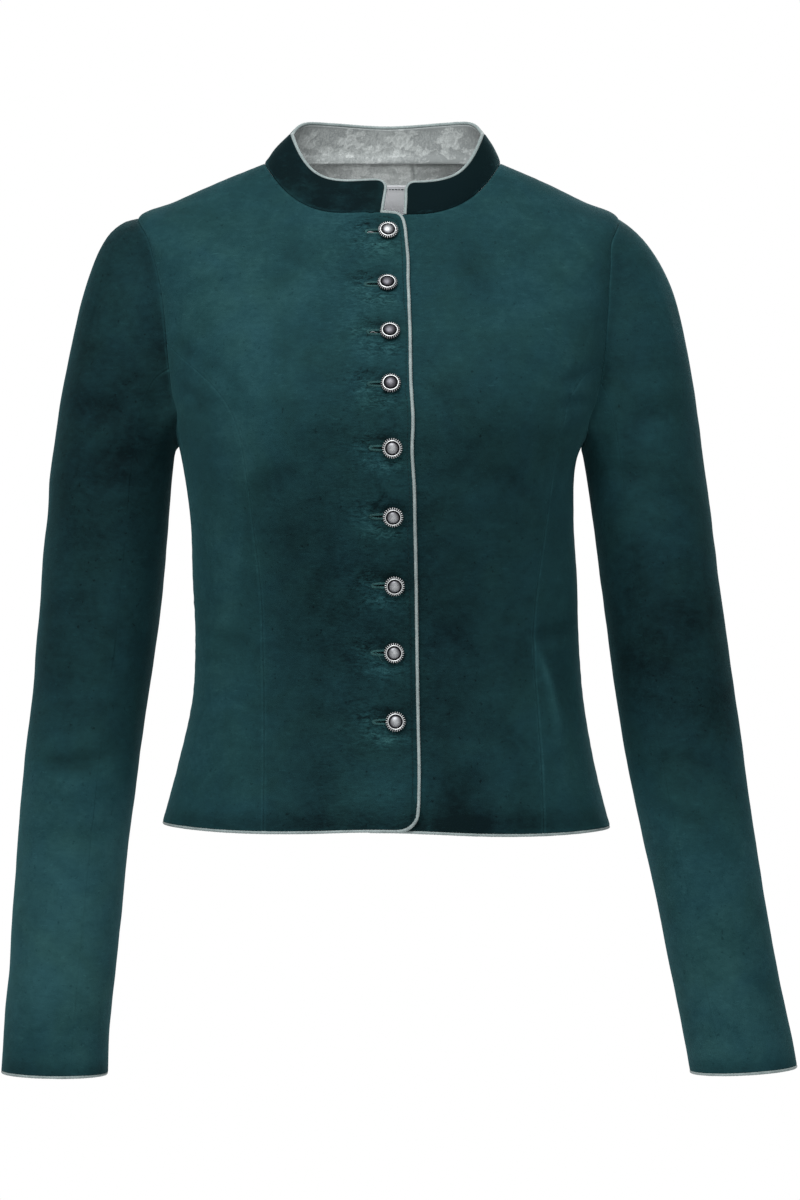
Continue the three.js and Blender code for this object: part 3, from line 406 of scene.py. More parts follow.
def form_normal(spots):
    turn = np.array([FORM_STEP, 0.0])
    around = form_point(spots + turn) - form_point(spots - turn)
    low, high = spots.copy(), spots.copy()
    low[..., 1] = np.maximum(spots[..., 1] - FORM_STEP, 0)
    high[..., 1] = np.minimum(spots[..., 1] + FORM_STEP, NECK)
    return unit(np.cross(around, form_point(high) - form_point(low)))


HALVINGS = 40                 # of the level's range, to find a spot


def spot_at(x, z, face):
    """The spots of the front or back that have these x and z."""
    x, z = np.broadcast_arrays(np.asarray(x, float), np.asarray(z, float))
    low, high = np.zeros(x.shape), np.full(x.shape, float(NECK))
    for _ in range(HALVINGS):
        middle = (low + high) / 2
        ring = ring_at(middle)
        share = np.minimum(1, np.abs(x - ring["middle_x"]) / ring["half_width"])
        below = lerp(ring[face + "_z"], ring["side_z"], share ** SWEEP) < z
        low, high = np.where(below, middle, low), np.where(below, high, middle)
    front = face == "front"
    depth = ring["side_y"] - ring["front_y"] if front else ring["back_y"] - ring["side_y"]
    y = depth * (1 - share ** ring["square"]) ** (1 / ring["square"])
    angle = np.arctan2(share * ring["half_width"], y if front else -y)
    return np.stack([np.where(x < ring["middle_x"], -angle, angle), (low + high) / 2], axis=-1)


fifth = form_point(spot_at(*BUTTON_PLACES[4], "front"))
print("the fifth button's place on the form, mm:", fifth.round(1).tolist())

# %% [markdown]
# ## Seams are the outlines of the pieces
#
# A pattern piece is known by its edges. Each seam is found at a few spots of the form, and a
# smooth curve through them gives as many in between as the cloth needs. Two neighbours use
# the same seam, so that they meet along it without a crack.

# %% Seams
COARSE = {"lower": 17, "side": 13, "underarm": 4, "armhole": 6}    # steps of each stretch
THROAT_STEPS = 3               # the last ones of the front edge, round the throat corner
CURVE_SAMPLES = 600


def run_of(line):
    """How far each point of a line is from its start."""
    return np.concatenate([[0], np.cumsum(np.linalg.norm(np.diff(line, axis=0), axis=1))])


def resampled(line, run, wanted):
    """The line's places at the wanted distances from its start."""
    return np.stack([np.interp(wanted, run, column) for column in line.T], axis=-1)


def divide(pairs, steps):
    """Equal steps along a smooth curve through (x, z) pairs."""
    pairs = np.asarray(pairs, float)
    last = len(pairs) - 1
    at = np.linspace(0, last, CURVE_SAMPLES)
    i = np.minimum(at.astype(int), last - 1)
    dense = curve(pairs[np.maximum(i - 1, 0)], pairs[i], pairs[i + 1],
                  pairs[np.minimum(i + 2, last)], (at - i)[:, None])
    run = run_of(dense)
    return resampled(dense, run, np.linspace(0, run[-1], steps + 1))


def on_face(pairs, face):
    pairs = np.asarray(pairs, float)
    return spot_at(pairs[:, 0], pairs[:, 1], face)


def seam_pairs(seam, side):
    return np.stack([seam[side + "_x"], seam[side + "_z"]], axis=-1)


def between(start, end, steps):
    """Equal steps on a straight line."""
    return lerp(np.array(start, float), np.array(end, float), np.linspace(0, 1, steps + 1)[:, None])


def armhole_seam(seam, side, face, tip_spot, pit_spot):
    """The armhole's two stretches, under and over the point where the princess seam ends."""
    meeting = SEAM_MEETING[face]
    pairs = seam_pairs(seam, side)
    tip, pit = form_point(tip_spot)[[0, 2]], form_point(pit_spot)[[0, 2]]
    upper = on_face(divide([*pairs[:meeting + 1][::-1], tip], COARSE["armhole"]), face)
    lower = on_face(divide([pit, *pairs[meeting:][::-1]], COARSE["underarm"]), face)
    upper[-1], lower[0] = tip_spot, pit_spot
    return {"upper": upper, "lower": lower}


def seams_of(side):
    side_angle = math.radians(90 if side == "left" else -90)
    tip, pit = np.array([side_angle, SHOULDER]), np.array([side_angle, UNDERARM])
    return {
        "front": armhole_seam(FRONT_ARMHOLE, side, "front", tip, pit),
        "back": armhole_seam(BACK_ARMHOLE, side, "back", tip, pit),
        "front_princess": on_face(divide(seam_pairs(FRONT_PRINCESS, side), COARSE["lower"]),
                                  "front"),
        "back_princess": on_face(divide(seam_pairs(BACK_PRINCESS, side), COARSE["lower"]), "back"),
        "side": between((side_angle, 0), pit, COARSE["side"]),
    }


SEAMS = {side: seams_of(side) for side in ("right", "left")}


def neck_line(side, face):
    """Spots of the neck line: from the collar's end, or from the centre back, to the shoulder."""
    sign = 1 if side == "left" else -1
    shoulder = (sign * math.radians(90), NECK)
    if face == "back":
        return between((sign * math.pi, NECK), shoulder, COARSE["armhole"] + 1)
    ring = ring_at(float(NECK))
    start = math.atan2(COLLAR_ENDS[side] - ring["middle_x"], ring["side_y"] - ring["front_y"])
    return between((start, NECK), shoulder, COARSE["armhole"])


def front_edge(side):
    """Stretches of a front's edge: straight up, round the throat corner, along the neck."""
    pairs = np.stack([FRONT_EDGE["x"], FRONT_EDGE["z"]], axis=-1)
    straight, corner = pairs[:-2], pairs[-2:]
    if side == "left":
        straight = straight - (UNDERLAP, 0)
        corner = np.array([[straight[-1, 0], height] for height in LEFT_THROAT])
    straight = on_face(divide(straight, COARSE["lower"] - THROAT_STEPS), "front")
    hem_x = FRONT_EDGE["x"][0] if side == "right" else form_point(straight[0])[0]
    straight[0] = (spot_at(hem_x, BODY["front_z"][0], "front")[0], 0)
    neck = neck_line(side, "front")
    throat = np.concatenate([straight[-1:], on_face(corner, "front"), neck[:1]])
    return [straight, throat, neck]


def run_along(stretches, t):
    """Spots at t, which counts the coarse steps of several stretches one after another."""
    result = np.zeros((len(t), 2))
    start = 0
    for spots in stretches:
        end = start + len(spots) - 1
        here = (t >= start - 1e-9) & (t <= end + 1e-9)
        result[here] = smooth(spots, t[here] - start)
        start = end
    return result


print("spots on each princess seam:", len(SEAMS["right"]["front_princess"]))

# %% [markdown]
# ## How finely the cloth is divided
#
# Long soft shapes need few points, but a rolled edge needs several within two millimetres.
# So every grid is graded: close rows and columns along its rim, even ones inside.

# %% Graded grids
RIM = np.array([0.0, 0.12, 0.4, 0.9, 1.6, 2.6])     # millimetres in from an edge


def graded(length, pitch):
    """Shares from 0 to 1: close together at both ends, about a pitch apart inside."""
    rim = RIM / length
    inside = np.linspace(rim[-1], 1 - rim[-1], max(2, round((length - 2 * RIM[-1]) / pitch) + 1))
    return np.concatenate([rim[:-1], inside, 1 - rim[:-1][::-1]])


def path_lengths(points, axis):
    """How far each point of a grid is along its row or column, and each one's whole length."""
    steps = np.linalg.norm(np.diff(points, axis=axis), axis=-1)
    run = np.cumsum(steps, axis=axis)
    run = np.concatenate([np.zeros_like(np.take(run, [0], axis=axis)), run], axis=axis)
    return run, np.take(run, [-1], axis=axis)


PITCH_FRONT, PITCH_BACK, PITCH_BODY = 2.1, 2.7, 3.0
print("columns of a piece 190 mm wide:", len(graded(190, PITCH_FRONT)))

# %% [markdown]
# ## Creases placed one by one
#
# Fitted velvet hardly folds: it shows a few soft drags where the body pushes or the arm hangs.
# Each crease is a row in a table, with its two ends, how much it bows, its width and its
# depth. A positive depth is a trough with a low ridge on both sides, and a negative one is the
# opposite. The front's last three rows are tiny dents between the fifth and sixth buttons. The
# back has a table of its own, and the side panels read both.

# %% Crease tables and how they shape a surface
CREASE_COLUMNS = "u1 v1 u2 v2 bow width depth"
FRONT_CREASES = table(
    CREASE_COLUMNS,
    (108, -356, 128, -428, -2.5, 3.0, -1.8), (121, -362, 142, -428, -2, 6.0, 1.3),
    (-151, -166, -116, -184, 5, 4.5, 1.2), (-148, -186, -121, -196, -3, 4.0, 0.9),
    (-156, -128, -132, -150, 4, 5.0, 0.9), (154, -150, 122, -166, -5, 5.0, 1.0),
    (150, -180, 126, -188, 3, 4.0, 0.8), (-60, -232, -104, -262, 7, 9.0, 1.1),
    (64, -230, 112, -262, -8, 9.0, 1.0), (-140, -346, -98, -358, 3, 6.0, 1.2),
    (-140, -368, -108, -372, -2, 6.0, 0.9), (141, -340, 104, -352, -4, 6.0, 1.1),
    (-52, -500, -47, -428, 4, 13.0, 0.7), (56, -500, 61, -446, -5, 15.0, 0.7),
    (-124, -500, -119, -440, 3, 11.0, 0.7), (84, -500, 82, -456, 2, 8.0, -0.6),
    (-62, -58, -92, -104, -6, 11.0, 0.9), (58, -60, 84, -106, 6, 12.0, 0.8),
    (-22, -300, -58, -316, 4, 8.0, 0.7), (30, -352, 70, -366, -5, 9.0, 0.8),
    (-7, -235, -1, -252, 1, 1.6, 1.0), (1, -247, -12, -263, -1, 1.6, 1.2),
    (-2, -247, 9, -258, 1, 1.5, 1.0))
BACK_CREASES = table(
    CREASE_COLUMNS,
    (-118, -318, -40, -338, 6, 8.0, 1.6), (122, -324, 46, -346, -7, 8.0, 1.5),
    (-96, -352, -30, -360, -3, 7.0, 1.2), (104, -350, 24, -368, 5, 8.0, 1.3),
    (-158, -148, -116, -186, -9, 7.0, 1.5), (154, -140, 110, -184, 9, 7.0, 1.5),
    (-150, -190, -112, -214, -5, 6.0, 1.0), (146, -186, 112, -206, 5, 6.0, 1.0),
    (-44, -502, -40, -420, 4, 14.0, 1.6), (50, -502, 46, -432, -4, 13.0, 1.5),
    (-120, -502, -112, -436, 4, 11.0, 1.3), (124, -502, 116, -444, -4, 10.0, 1.2),
    (-16, -24, -70, -34, 6, 8.0, 0.9), (20, -26, 66, -36, -6, 9.0, 0.9))
# On a sleeve u runs round it, 0 on the outer side and positive to the front, and v runs down
# it from the armhole, both in millimetres.
SLEEVE_CREASES = {
    "right": table(
        CREASE_COLUMNS,
        (88, 62, 30, 96, 8, 8.0, 1.6), (104, 92, 58, 122, 6, 7.0, 1.4),
        (112, 128, 52, 146, -6, 8.0, 1.1), (24, 18, 34, 66, 4, 6.0, 0.9),
        (118, 322, 44, 344, 9, 8.0, 1.7), (104, 356, 28, 350, -8, 7.0, 1.5),
        (122, 384, 66, 398, 5, 7.0, 1.2), (70, 214, 20, 236, 6, 10.0, 1.0),
        (62, 452, 14, 468, 5, 10.0, 0.9), (84, 538, 40, 560, -6, 9.0, 0.9),
        (-40, 80, -96, 104, -8, 8.0, 1.5), (-60, 128, -112, 140, 6, 8.0, 1.2),
        (-34, 330, -112, 350, 8, 8.0, 1.6), (-30, 372, -92, 366, -6, 7.0, 1.3),
        (-24, 470, -80, 488, 6, 10.0, 0.9), (10, 150, -30, 176, 5, 11.0, 0.8)),
    "left": table(
        CREASE_COLUMNS,
        (92, 58, 38, 88, 7, 8.0, 1.5), (108, 98, 56, 130, 7, 8.0, 1.3),
        (100, 140, 44, 150, -5, 7.0, 1.0), (20, 20, 28, 70, -4, 6.0, 0.8),
        (112, 336, 38, 352, -9, 9.0, 1.6), (120, 366, 46, 380, 6, 7.0, 1.4),
        (88, 404, 40, 400, -5, 8.0, 1.0), (60, 230, 12, 246, -6, 10.0, 0.9),
        (74, 486, 24, 500, 6, 10.0, 0.9), (66, 566, 26, 586, 5, 9.0, 0.8),
        (-44, 74, -100, 96, 8, 8.0, 1.4), (-52, 120, -108, 144, -6, 8.0, 1.2),
        (-30, 342, -108, 340, 7, 8.0, 1.6), (-34, 384, -96, 392, 6, 8.0, 1.2),
        (-20, 500, -76, 510, -6, 10.0, 0.8), (6, 160, -34, 178, -5, 11.0, 0.8)),
}


# The low ridges beside a trough: their height, how far out they are and how wide, in units of
# the trough's own depth and width.
BESIDE_HEIGHT, BESIDE_AWAY, BESIDE_WIDTH = 0.32, 1.9, 1.1


def creases(u, v, rows):
    """The height that a table of creases adds at the chart points u, v."""
    height = np.zeros(np.shape(u))
    for u1, v1, u2, v2, bow, width, depth in zip(*rows.values()):
        du, dv = u2 - u1, v2 - v1
        length = math.hypot(du, dv)
        along = ((u - u1) * du + (v - v1) * dv) / length ** 2
        across = ((u - u1) * dv - (v - v1) * du) / length - bow * 4 * along * (1 - along)
        inside = np.clip(along, 0, 1)
        fade = np.sin(inside * math.pi) ** 0.8 * (along > 0) * (along < 1)
        side = (np.abs(across) - BESIDE_AWAY * width) / (BESIDE_WIDTH * width)
        profile = np.exp(-(across / width) ** 2) - BESIDE_HEIGHT * np.exp(-side ** 2)
        height -= depth * fade * profile
    return height


WAVES = 9


def ripples(u, v, seed, size, stretch=1.0):
    """Smooth unevenness between about -1 and 1, from a few seeded waves."""
    chance = np.random.default_rng(seed)
    total = np.zeros(np.shape(u))
    for _ in range(WAVES):
        turn = chance.uniform(0, math.pi)
        length = size * chance.uniform(0.7, 1.7)
        phase = chance.uniform(0, 2 * math.pi)
        total += np.sin(2 * math.pi * (u * math.cos(turn) / stretch + v * math.sin(turn)) / length
                        + phase)
    return total / math.sqrt(WAVES) / 1.4


print("creases: front", len(FRONT_CREASES["u1"]), "back", len(BACK_CREASES["u1"]),
      "sleeves", sum(len(rows["u1"]) for rows in SLEEVE_CREASES.values()))

# %% [markdown]
# ## Puckers, crushed nap and painted shade round the buttons
#
# A button pulls its buttonhole towards the edge. The cloth answers with short puckers that fan
# out from the far end of the hole. The velvet is painted darker under each button, as its
# shadow, and above its hole, as the shade of the puckers. Below the bust the nap is rubbed under
# them, and painted lighter there, for the rubbed nap and as a painted highlight. One seeded loop
# makes them all, no two alike.

# %% Puckers, rubbed nap and painted shade
HOLE_LENGTH = 18.4             # from the button's middle to the far end of the buttonhole
TIGHT_ABOVE, LOOSE_PULL = -220, 0.6          # the buttons lower than that pull less
PUCKER_TURNS = (-62, -30, -8, 20, 46, 70)    # degrees from the direction of the hole
STEEP_TURN = 40                # a pucker steeper than that starts beside the button itself
PUCKER_FLATTER = 0.8           # the fan is a little lower than it is wide


def button_puckers():
    chance = np.random.default_rng(21)
    rows = []
    for x, z in BUTTON_PLACES:
        pull = 1.0 if z > TIGHT_ABOVE else LOOSE_PULL
        for turn in PUCKER_TURNS:
            angle = math.radians(180 + turn + chance.uniform(-9, 9))
            start = chance.uniform(4, 9) if abs(turn) > STEEP_TURN else HOLE_LENGTH - 4
            length = chance.uniform(11, 24) * pull
            c, s = math.cos(angle), math.sin(angle)
            ends = [value for far in (start, start + length)
                    for value in (x + far * c, z + far * s * PUCKER_FLATTER + 1)]
            rows.append((*ends, chance.uniform(-1.6, 1.6), chance.uniform(1.5, 2.6),
                         chance.uniform(0.35, 0.75) * pull))
    return table(CREASE_COLUMNS, *rows)


PUCKERS = button_puckers()


def spot_light(u, v, u0, v0, wide, high):
    """A soft oval stain of strength 1 round (u0, v0)."""
    return np.exp(-((u - u0) / wide) ** 2 - ((v - v0) / high) ** 2)


def crushed_nap(x, z):
    """Where the nap is crushed into strokes: below each button, round its hole, and a little
    in a band all down the front. From 0 to 1."""
    strength = 0.24 * np.exp(-((x + 8) / 48) ** 4)
    for x0, z0 in BUTTON_PLACES:
        strength += spot_light(x, z, x0 - 7, z0 - 10.5, 14, 6.5)
        strength += 0.7 * spot_light(x, z, x0 - 20, z0 + 3, 9, 8)
    return np.clip(strength, 0, 1)


RUBBED_BELOW = -200            # under the buttons lower than that, the rubbed nap is painted lighter and the shade above weaker
RUBBED_HIGH, RUBBED_LOW = 0.06, 0.28         # painted lighter below a button, for rubbed nap and as a painted highlight
SHADED_HIGH, SHADED_LOW = 0.34, 0.24         # painted shade above it, where the puckers fold


def rubbed_nap_and_button_shade(x, z):
    """How much lighter or darker the velvet is painted round the buttons: rubbed nap and a painted
    highlight below each, painted shade above its hole and a painted shadow under it.
    """
    tone = np.zeros(np.shape(x))
    broken = 0.7 + 0.5 * ripples(x, z, 5, 7, stretch=2)
    for x0, z0 in BUTTON_PLACES:
        low = z0 <= RUBBED_BELOW
        rubbed = RUBBED_LOW if low else RUBBED_HIGH
        shaded = SHADED_LOW if low else SHADED_HIGH
        tone += rubbed * spot_light(x, z, x0 - 4, z0 - 12.5, 13, 4.6) * broken
        tone += rubbed / 2 * spot_light(x, z, x0 - 17, z0 - 7, 8, 4) * broken
        tone -= shaded * spot_light(x, z, x0 - 12, z0 + 7, 13, 4.2) * broken
        # a painted shadow under the button
        tone -= 0.16 * spot_light(x, z, x0, z0, 10.5, 10.5)
    return tone


print("puckers:", len(PUCKERS["u1"]))

# %% [markdown]
# ## Velvet, lining, brocade, satin, thread and silver
#
# Velvet is a deep pile. It is dark where the fibres point at you and lights up along edges,
# which is what the Principled shader's sheen is for. Its nap also lies unevenly, so the colour
# runs through a ramp from several noises, cloudy, mottled, streaky and fine, plus a number that
# each piece carries at its points. That number is partly uneven nap and partly painted light and
# shade: lighter where a part leans up towards the lamps, darker in creases, in seams and under
# edges and buttons. A second number, rub, says where the nap is crushed into strokes. A few dark
# specks and light scratches lie on top, and the hue drifts a little. All patterns read Object
# coordinates or the piece's own UV map, so they stay on the cloth whatever the camera does.

# %% Material helpers


def calculate(tree, operation, *values, clamp=False):
    """The result of a Math node."""
    return output_of(tree, "ShaderNodeMath", dict(enumerate(values)), operation=operation,
                     use_clamp=clamp)


def vector_math(tree, operation, *values, **sockets):
    return output_of(tree, "ShaderNodeVectorMath", {**dict(enumerate(values)), **sockets},
                     operation=operation)


def feed(tree, shader, **sockets):
    for name, socket in sockets.items():
        tree.links.new(socket, shader[name.replace("_", " ")])


def object_place(tree):
    return add_node(tree, "ShaderNodeTexCoord").outputs["Object"]


def cloth_chart(tree):
    """The piece's UV map, which holds metres."""
    return output_of(tree, "ShaderNodeUVMap", uv_map="UVMap")


def carried(tree, name):
    """A number that the piece carries at its points."""
    return add_node(tree, "ShaderNodeAttribute", attribute_name=name).outputs["Fac"]


def stretched(tree, vector, scale):
    return output_of(tree, "ShaderNodeMapping", {"Vector": vector, "Scale": scale})


def noise(tree, vector, scale, detail=3.0, roughness=0.55, distortion=0.0, output="Fac"):
    inputs = {"Vector": vector, "Scale": scale, "Detail": detail, "Roughness": roughness,
              "Distortion": distortion}
    return add_node(tree, "ShaderNodeTexNoise", inputs).outputs[output]


def ramp(tree, value, *stops):
    """A colour ramp. Each stop is a place from 0 to 1 and a colour."""
    made = add_node(tree, "ShaderNodeValToRGB", {"Fac": value})
    elements = made.color_ramp.elements
    while len(elements) < len(stops):
        elements.new(0.5)
    for element, (place, colour) in zip(elements, stops):
        element.position = place
        element.color = (*colour, 1.0)
    return made.outputs["Color"]


def bump(tree, height, strength, distance):
    inputs = {"Height": height, "Strength": strength, "Distance": distance}
    return add_node(tree, "ShaderNodeBump", inputs).outputs["Normal"]


def weighted(tree, *terms, start=0.0):
    """start plus each value, less its middle 0.5, times its weight."""
    total = start
    for value, weight in terms:
        shifted = calculate(tree, "SUBTRACT", value, 0.5)
        total = calculate(tree, "MULTIPLY_ADD", shifted, weight, total)
    return total


def above(tree, value, threshold, steepness):
    """0 below the threshold and a steep rise to 1 above it: marks that are few and small."""
    over = calculate(tree, "SUBTRACT", value, threshold)
    return calculate(tree, "MULTIPLY", over, steepness, clamp=True)


def two_tones(tree, shader, fine, soft, dark, light, relief):
    """A plain cloth from dark to light by a fine and a soft noise, each with its weight. The
    fine one also makes its relief, which is a strength and a depth."""
    colour = ramp(tree, weighted(tree, fine, soft, start=0.5), (0.2, dark), (0.8, light))
    feed(tree, shader, Base_Color=colour, Normal=bump(tree, fine[0], *relief))

# %% Velvet
# The ramp's colours: the deep end serves dark nap and painted shade, the light end rubbed nap and
# painted light.
VELVET_DEEP = (0.0008, 0.0056, 0.0070)
VELVET_MIDDLE = (0.0072, 0.0320, 0.0372)
VELVET_LIT_AND_RUBBED = (0.0230, 0.0760, 0.0840)


def velvet_material():
    material, tree, shader = new_material(
        "velvet", Roughness=0.85, Specular_IOR_Level=0.06, Sheen_Weight=0.10,
        Sheen_Roughness=0.42, Sheen_Tint=(0.16, 0.52, 0.58, 1.0))
    place = object_place(tree)
    wander = noise(tree, place, 11.0, 2.0)
    cloudy = noise(tree, place, 19.0, 4.0, 0.6, 0.8)
    mottled = noise(tree, place, 75.0, 4.0, 0.62, 0.6)
    streaky = noise(tree, stretched(tree, place, (0.42, 0.42, 1.9)), 58.0, 5.0, 0.66, 0.5)
    crushed = noise(tree, stretched(tree, place, (0.7, 0.7, 1.2)), 240.0, 4.0, 0.72)
    pile = noise(tree, place, 2600.0, 1.0)
    specks = above(tree, noise(tree, place, 330.0, 2.0), 0.65, 9.0)
    hairs = stretched(tree, place, (0.5, 0.5, 2.0))
    scratches = above(tree, noise(tree, hairs, 330.0, 2.0, 0.6, 1.2), 0.63, 8.0)
    strokes = noise(tree, stretched(tree, place, (0.45, 0.45, 1.3)), 430.0, 4.0, 0.75, 0.8)
    marks = calculate(tree, "MULTIPLY", calculate(tree, "SUBTRACT", strokes, 0.47),
                      carried(tree, "rub"))
    tone = weighted(tree, (cloudy, 0.40), (mottled, 0.22), (streaky, 0.13), (crushed, 0.26),
                    (wander, 0.25), (pile, 0.12),
                    start=calculate(tree, "MULTIPLY_ADD", marks, 2.4, carried(tree, "tone_and_shading")))
    tone = calculate(tree, "MULTIPLY_ADD", specks, -0.20, tone)
    tone = calculate(tree, "MULTIPLY_ADD", scratches, 0.15, tone)
    colour = ramp(tree, tone, (0.03, VELVET_DEEP), (0.5, VELVET_MIDDLE), (1.0, VELVET_LIT_AND_RUBBED))
    hue = ramp(tree, noise(tree, place, 26.0, 3.0, 0.55, 0.5), (0.35, (0.97, 0.995, 1.03)),
               (0.65, (1.03, 1.01, 0.95)))
    colour = vector_math(tree, "MULTIPLY", colour, hue)
    relief = weighted(tree, (streaky, 0.9), (crushed, 0.6), (pile, 0.5))
    feed(tree, shader, Base_Color=colour, Normal=bump(tree, relief, 0.35, 0.0009))
    return material


def lining_material():
    material, tree, shader = new_material("lining", Roughness=0.5, Specular_IOR_Level=0.35)
    place = object_place(tree)
    weave = noise(tree, stretched(tree, place, (1, 1, 4)), 900.0, 2.0)
    two_tones(tree, shader, (weave, 0.3), (noise(tree, place, 24.0), 0.5),
              (0.17, 0.19, 0.19), (0.28, 0.31, 0.31), (0.2, 0.0003))
    return material


velvet = velvet_material()
lining = lining_material()
print("materials so far:", [m.name for m in bpy.data.materials])

# %% [markdown]
# Brocade is woven with its pattern: smooth satin ground, and grainy flowers where the weft
# floats. The flowers here are a common kind, with five or seven petals and a leaf, set in offset
# rows. They are worked out from the piece's UV map with polar coordinates round each flower. A
# noise bends the map first, so that no petal looks drawn with a compass. From a step away the
# flowers melt into one another, so most of the tone comes from the mottling of the weave, and
# the flowers only break it up with their grain and their outlines.

# %% Brocade
FLOWER_PITCH = 0.038          # metres from flower to flower
PETALS = 5
PETAL_WANDER = 0.019          # how far the noise bends the flowers


def brocade_material():
    material, tree, shader = new_material(
        "brocade", Specular_IOR_Level=0.45, Sheen_Weight=0.12, Sheen_Roughness=0.5)
    number, vector = partial(calculate, tree), partial(vector_math, tree)
    chart = cloth_chart(tree)
    bend = noise(tree, chart, 75.0, 5.0, 0.65, output="Color")
    shift = vector("SUBTRACT", bend, (0.5, 0.5, 0.5))
    bent = vector("ADD", chart, vector("MULTIPLY", shift, (PETAL_WANDER, PETAL_WANDER, 0.0)))

    def motif(offset, petals, reach, wave, leaf):
        """Strength of one set of flowers: near 1 inside a petal or a leaf, 0 on the ground."""
        moved = vector("ADD", bent, (offset, offset, 0.0))
        cell = vector("DIVIDE", moved, (FLOWER_PITCH,) * 3)
        local = vector("SUBTRACT", vector("FRACTION", cell), (0.5, 0.5, 0))
        parts = add_node(tree, "ShaderNodeSeparateXYZ", {0: local}).outputs
        x, y = parts["X"], parts["Y"]
        square = number("MULTIPLY_ADD", y, y, number("MULTIPLY", x, x))
        far = number("SQRT", square)
        lobes = number("COSINE", number("MULTIPLY", number("ARCTAN2", y, x), float(petals)))
        petal = number("SUBTRACT", number("MULTIPLY_ADD", lobes, wave, reach), far)
        slope = number("MULTIPLY", number("SUBTRACT", y, leaf), 3.4)
        spread = number("ADD", number("ABSOLUTE", slope), number("MULTIPLY", square, 2.6))
        blade = number("MULTIPLY", number("SUBTRACT", 0.42, spread), 0.4)
        both = number("MAXIMUM", petal, blade)
        inside = number("MULTIPLY_ADD", both, 16.0, 0.5, clamp=True)
        rings = number("SINE", number("MULTIPLY", far, 58.0))
        outline = number("MULTIPLY_ADD", number("ABSOLUTE", both), -26.0, 1.0, clamp=True)
        return inside, rings, outline

    large, rings, outline = motif(0.0, PETALS, 0.26, 0.085, -0.33)
    small, _, small_outline = motif(FLOWER_PITCH / 2, PETALS + 2, 0.15, 0.05, 0.3)
    figure = number("MAXIMUM", large, small)
    outline = number("MAXIMUM", outline, small_outline)
    painterly = noise(tree, chart, 250.0, 6.0, 0.72, 1.8)
    strokes = noise(tree, stretched(tree, chart, (520.0, 240.0, 1.0)), 1.0, 4.0, 0.7, 1.0)
    grainy = number("MULTIPLY", figure, noise(tree, chart, 1100.0, 2.0, 0.7))
    ribs = noise(tree, stretched(tree, chart, (1600.0, 240.0, 1.0)), 1.0, 1.0)
    tone = weighted(tree, (figure, 0.02), (painterly, 0.70), (strokes, 0.66), (grainy, 0.34),
                    (ribs, 0.16), start=carried(tree, "tone_and_shading"))
    tone = number("MULTIPLY_ADD", number("MULTIPLY", outline, strokes), -0.22, tone)
    tone = number("MULTIPLY_ADD", rings, number("MULTIPLY", figure, 0.06), tone)
    colour = ramp(tree, tone, (0.12, (0.24, 0.262, 0.262)), (0.5, (0.47, 0.505, 0.50)),
                  (0.9, (0.76, 0.80, 0.79)))
    relief = weighted(tree, (figure, 0.15), (painterly, 0.6), (strokes, 0.6), (grainy, 0.7),
                      (ribs, 0.3))
    feed(tree, shader, Base_Color=colour, Roughness=number("MULTIPLY_ADD", figure, 0.14, 0.46),
         Normal=bump(tree, relief, 0.4, 0.0005))
    return material


def patch_material():
    """Fine plain cloth: a thread noise and a soft unevenness."""
    material, tree, shader = new_material("woven_patch", Roughness=0.45, Specular_IOR_Level=0.4)
    chart = cloth_chart(tree)
    threads = noise(tree, stretched(tree, chart, (900.0, 2600.0, 1.0)), 1.0, 1.0)
    two_tones(tree, shader, (threads, 0.5), (noise(tree, chart, 60.0), 0.6),
              (0.74, 0.76, 0.79), (0.86, 0.88, 0.91), (0.25, 0.0003))
    return material


def fibre_material(name, dark, light, roughness, scale, sheen):
    """For cords and threads: short fibres from a noise in the object's own space."""
    material, tree, shader = new_material(name, Roughness=roughness, Specular_IOR_Level=0.15,
                                          Sheen_Weight=sheen, Sheen_Roughness=0.4)
    place = object_place(tree)
    fibres = noise(tree, place, scale, 3.0, 0.7, 0.4)
    two_tones(tree, shader, (fibres, 0.9), (noise(tree, place, scale / 12, 2.0), 0.5),
              dark, light, (0.5, 0.0004))
    return material


brocade, patch_cloth = brocade_material(), patch_material()
satin, teal_thread, dark_thread, grey_thread = (fibre_material(*row) for row in (
    ("satin_piping", (0.105, 0.135, 0.136), (0.30, 0.355, 0.352), 0.6, 1300.0, 0.15),
    ("teal_thread", (0.004, 0.026, 0.029), (0.028, 0.096, 0.096), 0.7, 1100.0, 0.1),
    ("dark_thread", (0.001, 0.008, 0.009), (0.005, 0.022, 0.025), 0.9, 1600.0, 0.0),
    ("grey_thread", (0.10, 0.11, 0.115), (0.24, 0.26, 0.27), 0.6, 1600.0, 0.1)))

# %% [markdown]
# Antiqued silver is bright where fingers rub it and dark in its recesses. The turned button
# carries that darkness at its points, as a number, and a noise breaks it up. On the domes it is
# raised further: the upturned domes of the second to fourth buttons are painted much darker, as a
# painted dark reflection, and the other domes a little darker.

# %% Silver


def silver_material():
    material, tree, shader = new_material("silver", Metallic=1.0)
    place = object_place(tree)
    wear = noise(tree, place, 900.0, 4.0, 0.65)
    scratches = noise(tree, stretched(tree, place, (1, 1, 6)), 1500.0, 2.0)
    tone = weighted(tree, (wear, 0.35), (scratches, 0.2), start=carried(tree, "recess"))
    colour = ramp(tree, tone, (0.0, (0.62, 0.64, 0.64)), (0.3, (0.25, 0.26, 0.27)),
                  (0.6, (0.085, 0.083, 0.095)), (1.0, (0.010, 0.011, 0.014)))
    rough = calculate(tree, "MULTIPLY_ADD", tone, 0.1, 0.47, clamp=True)
    feed(tree, shader, Base_Color=colour, Roughness=rough,
         Normal=bump(tree, wear, 0.15, 0.0002))
    return material


silver = silver_material()
print("materials:", [m.name for m in bpy.data.materials])

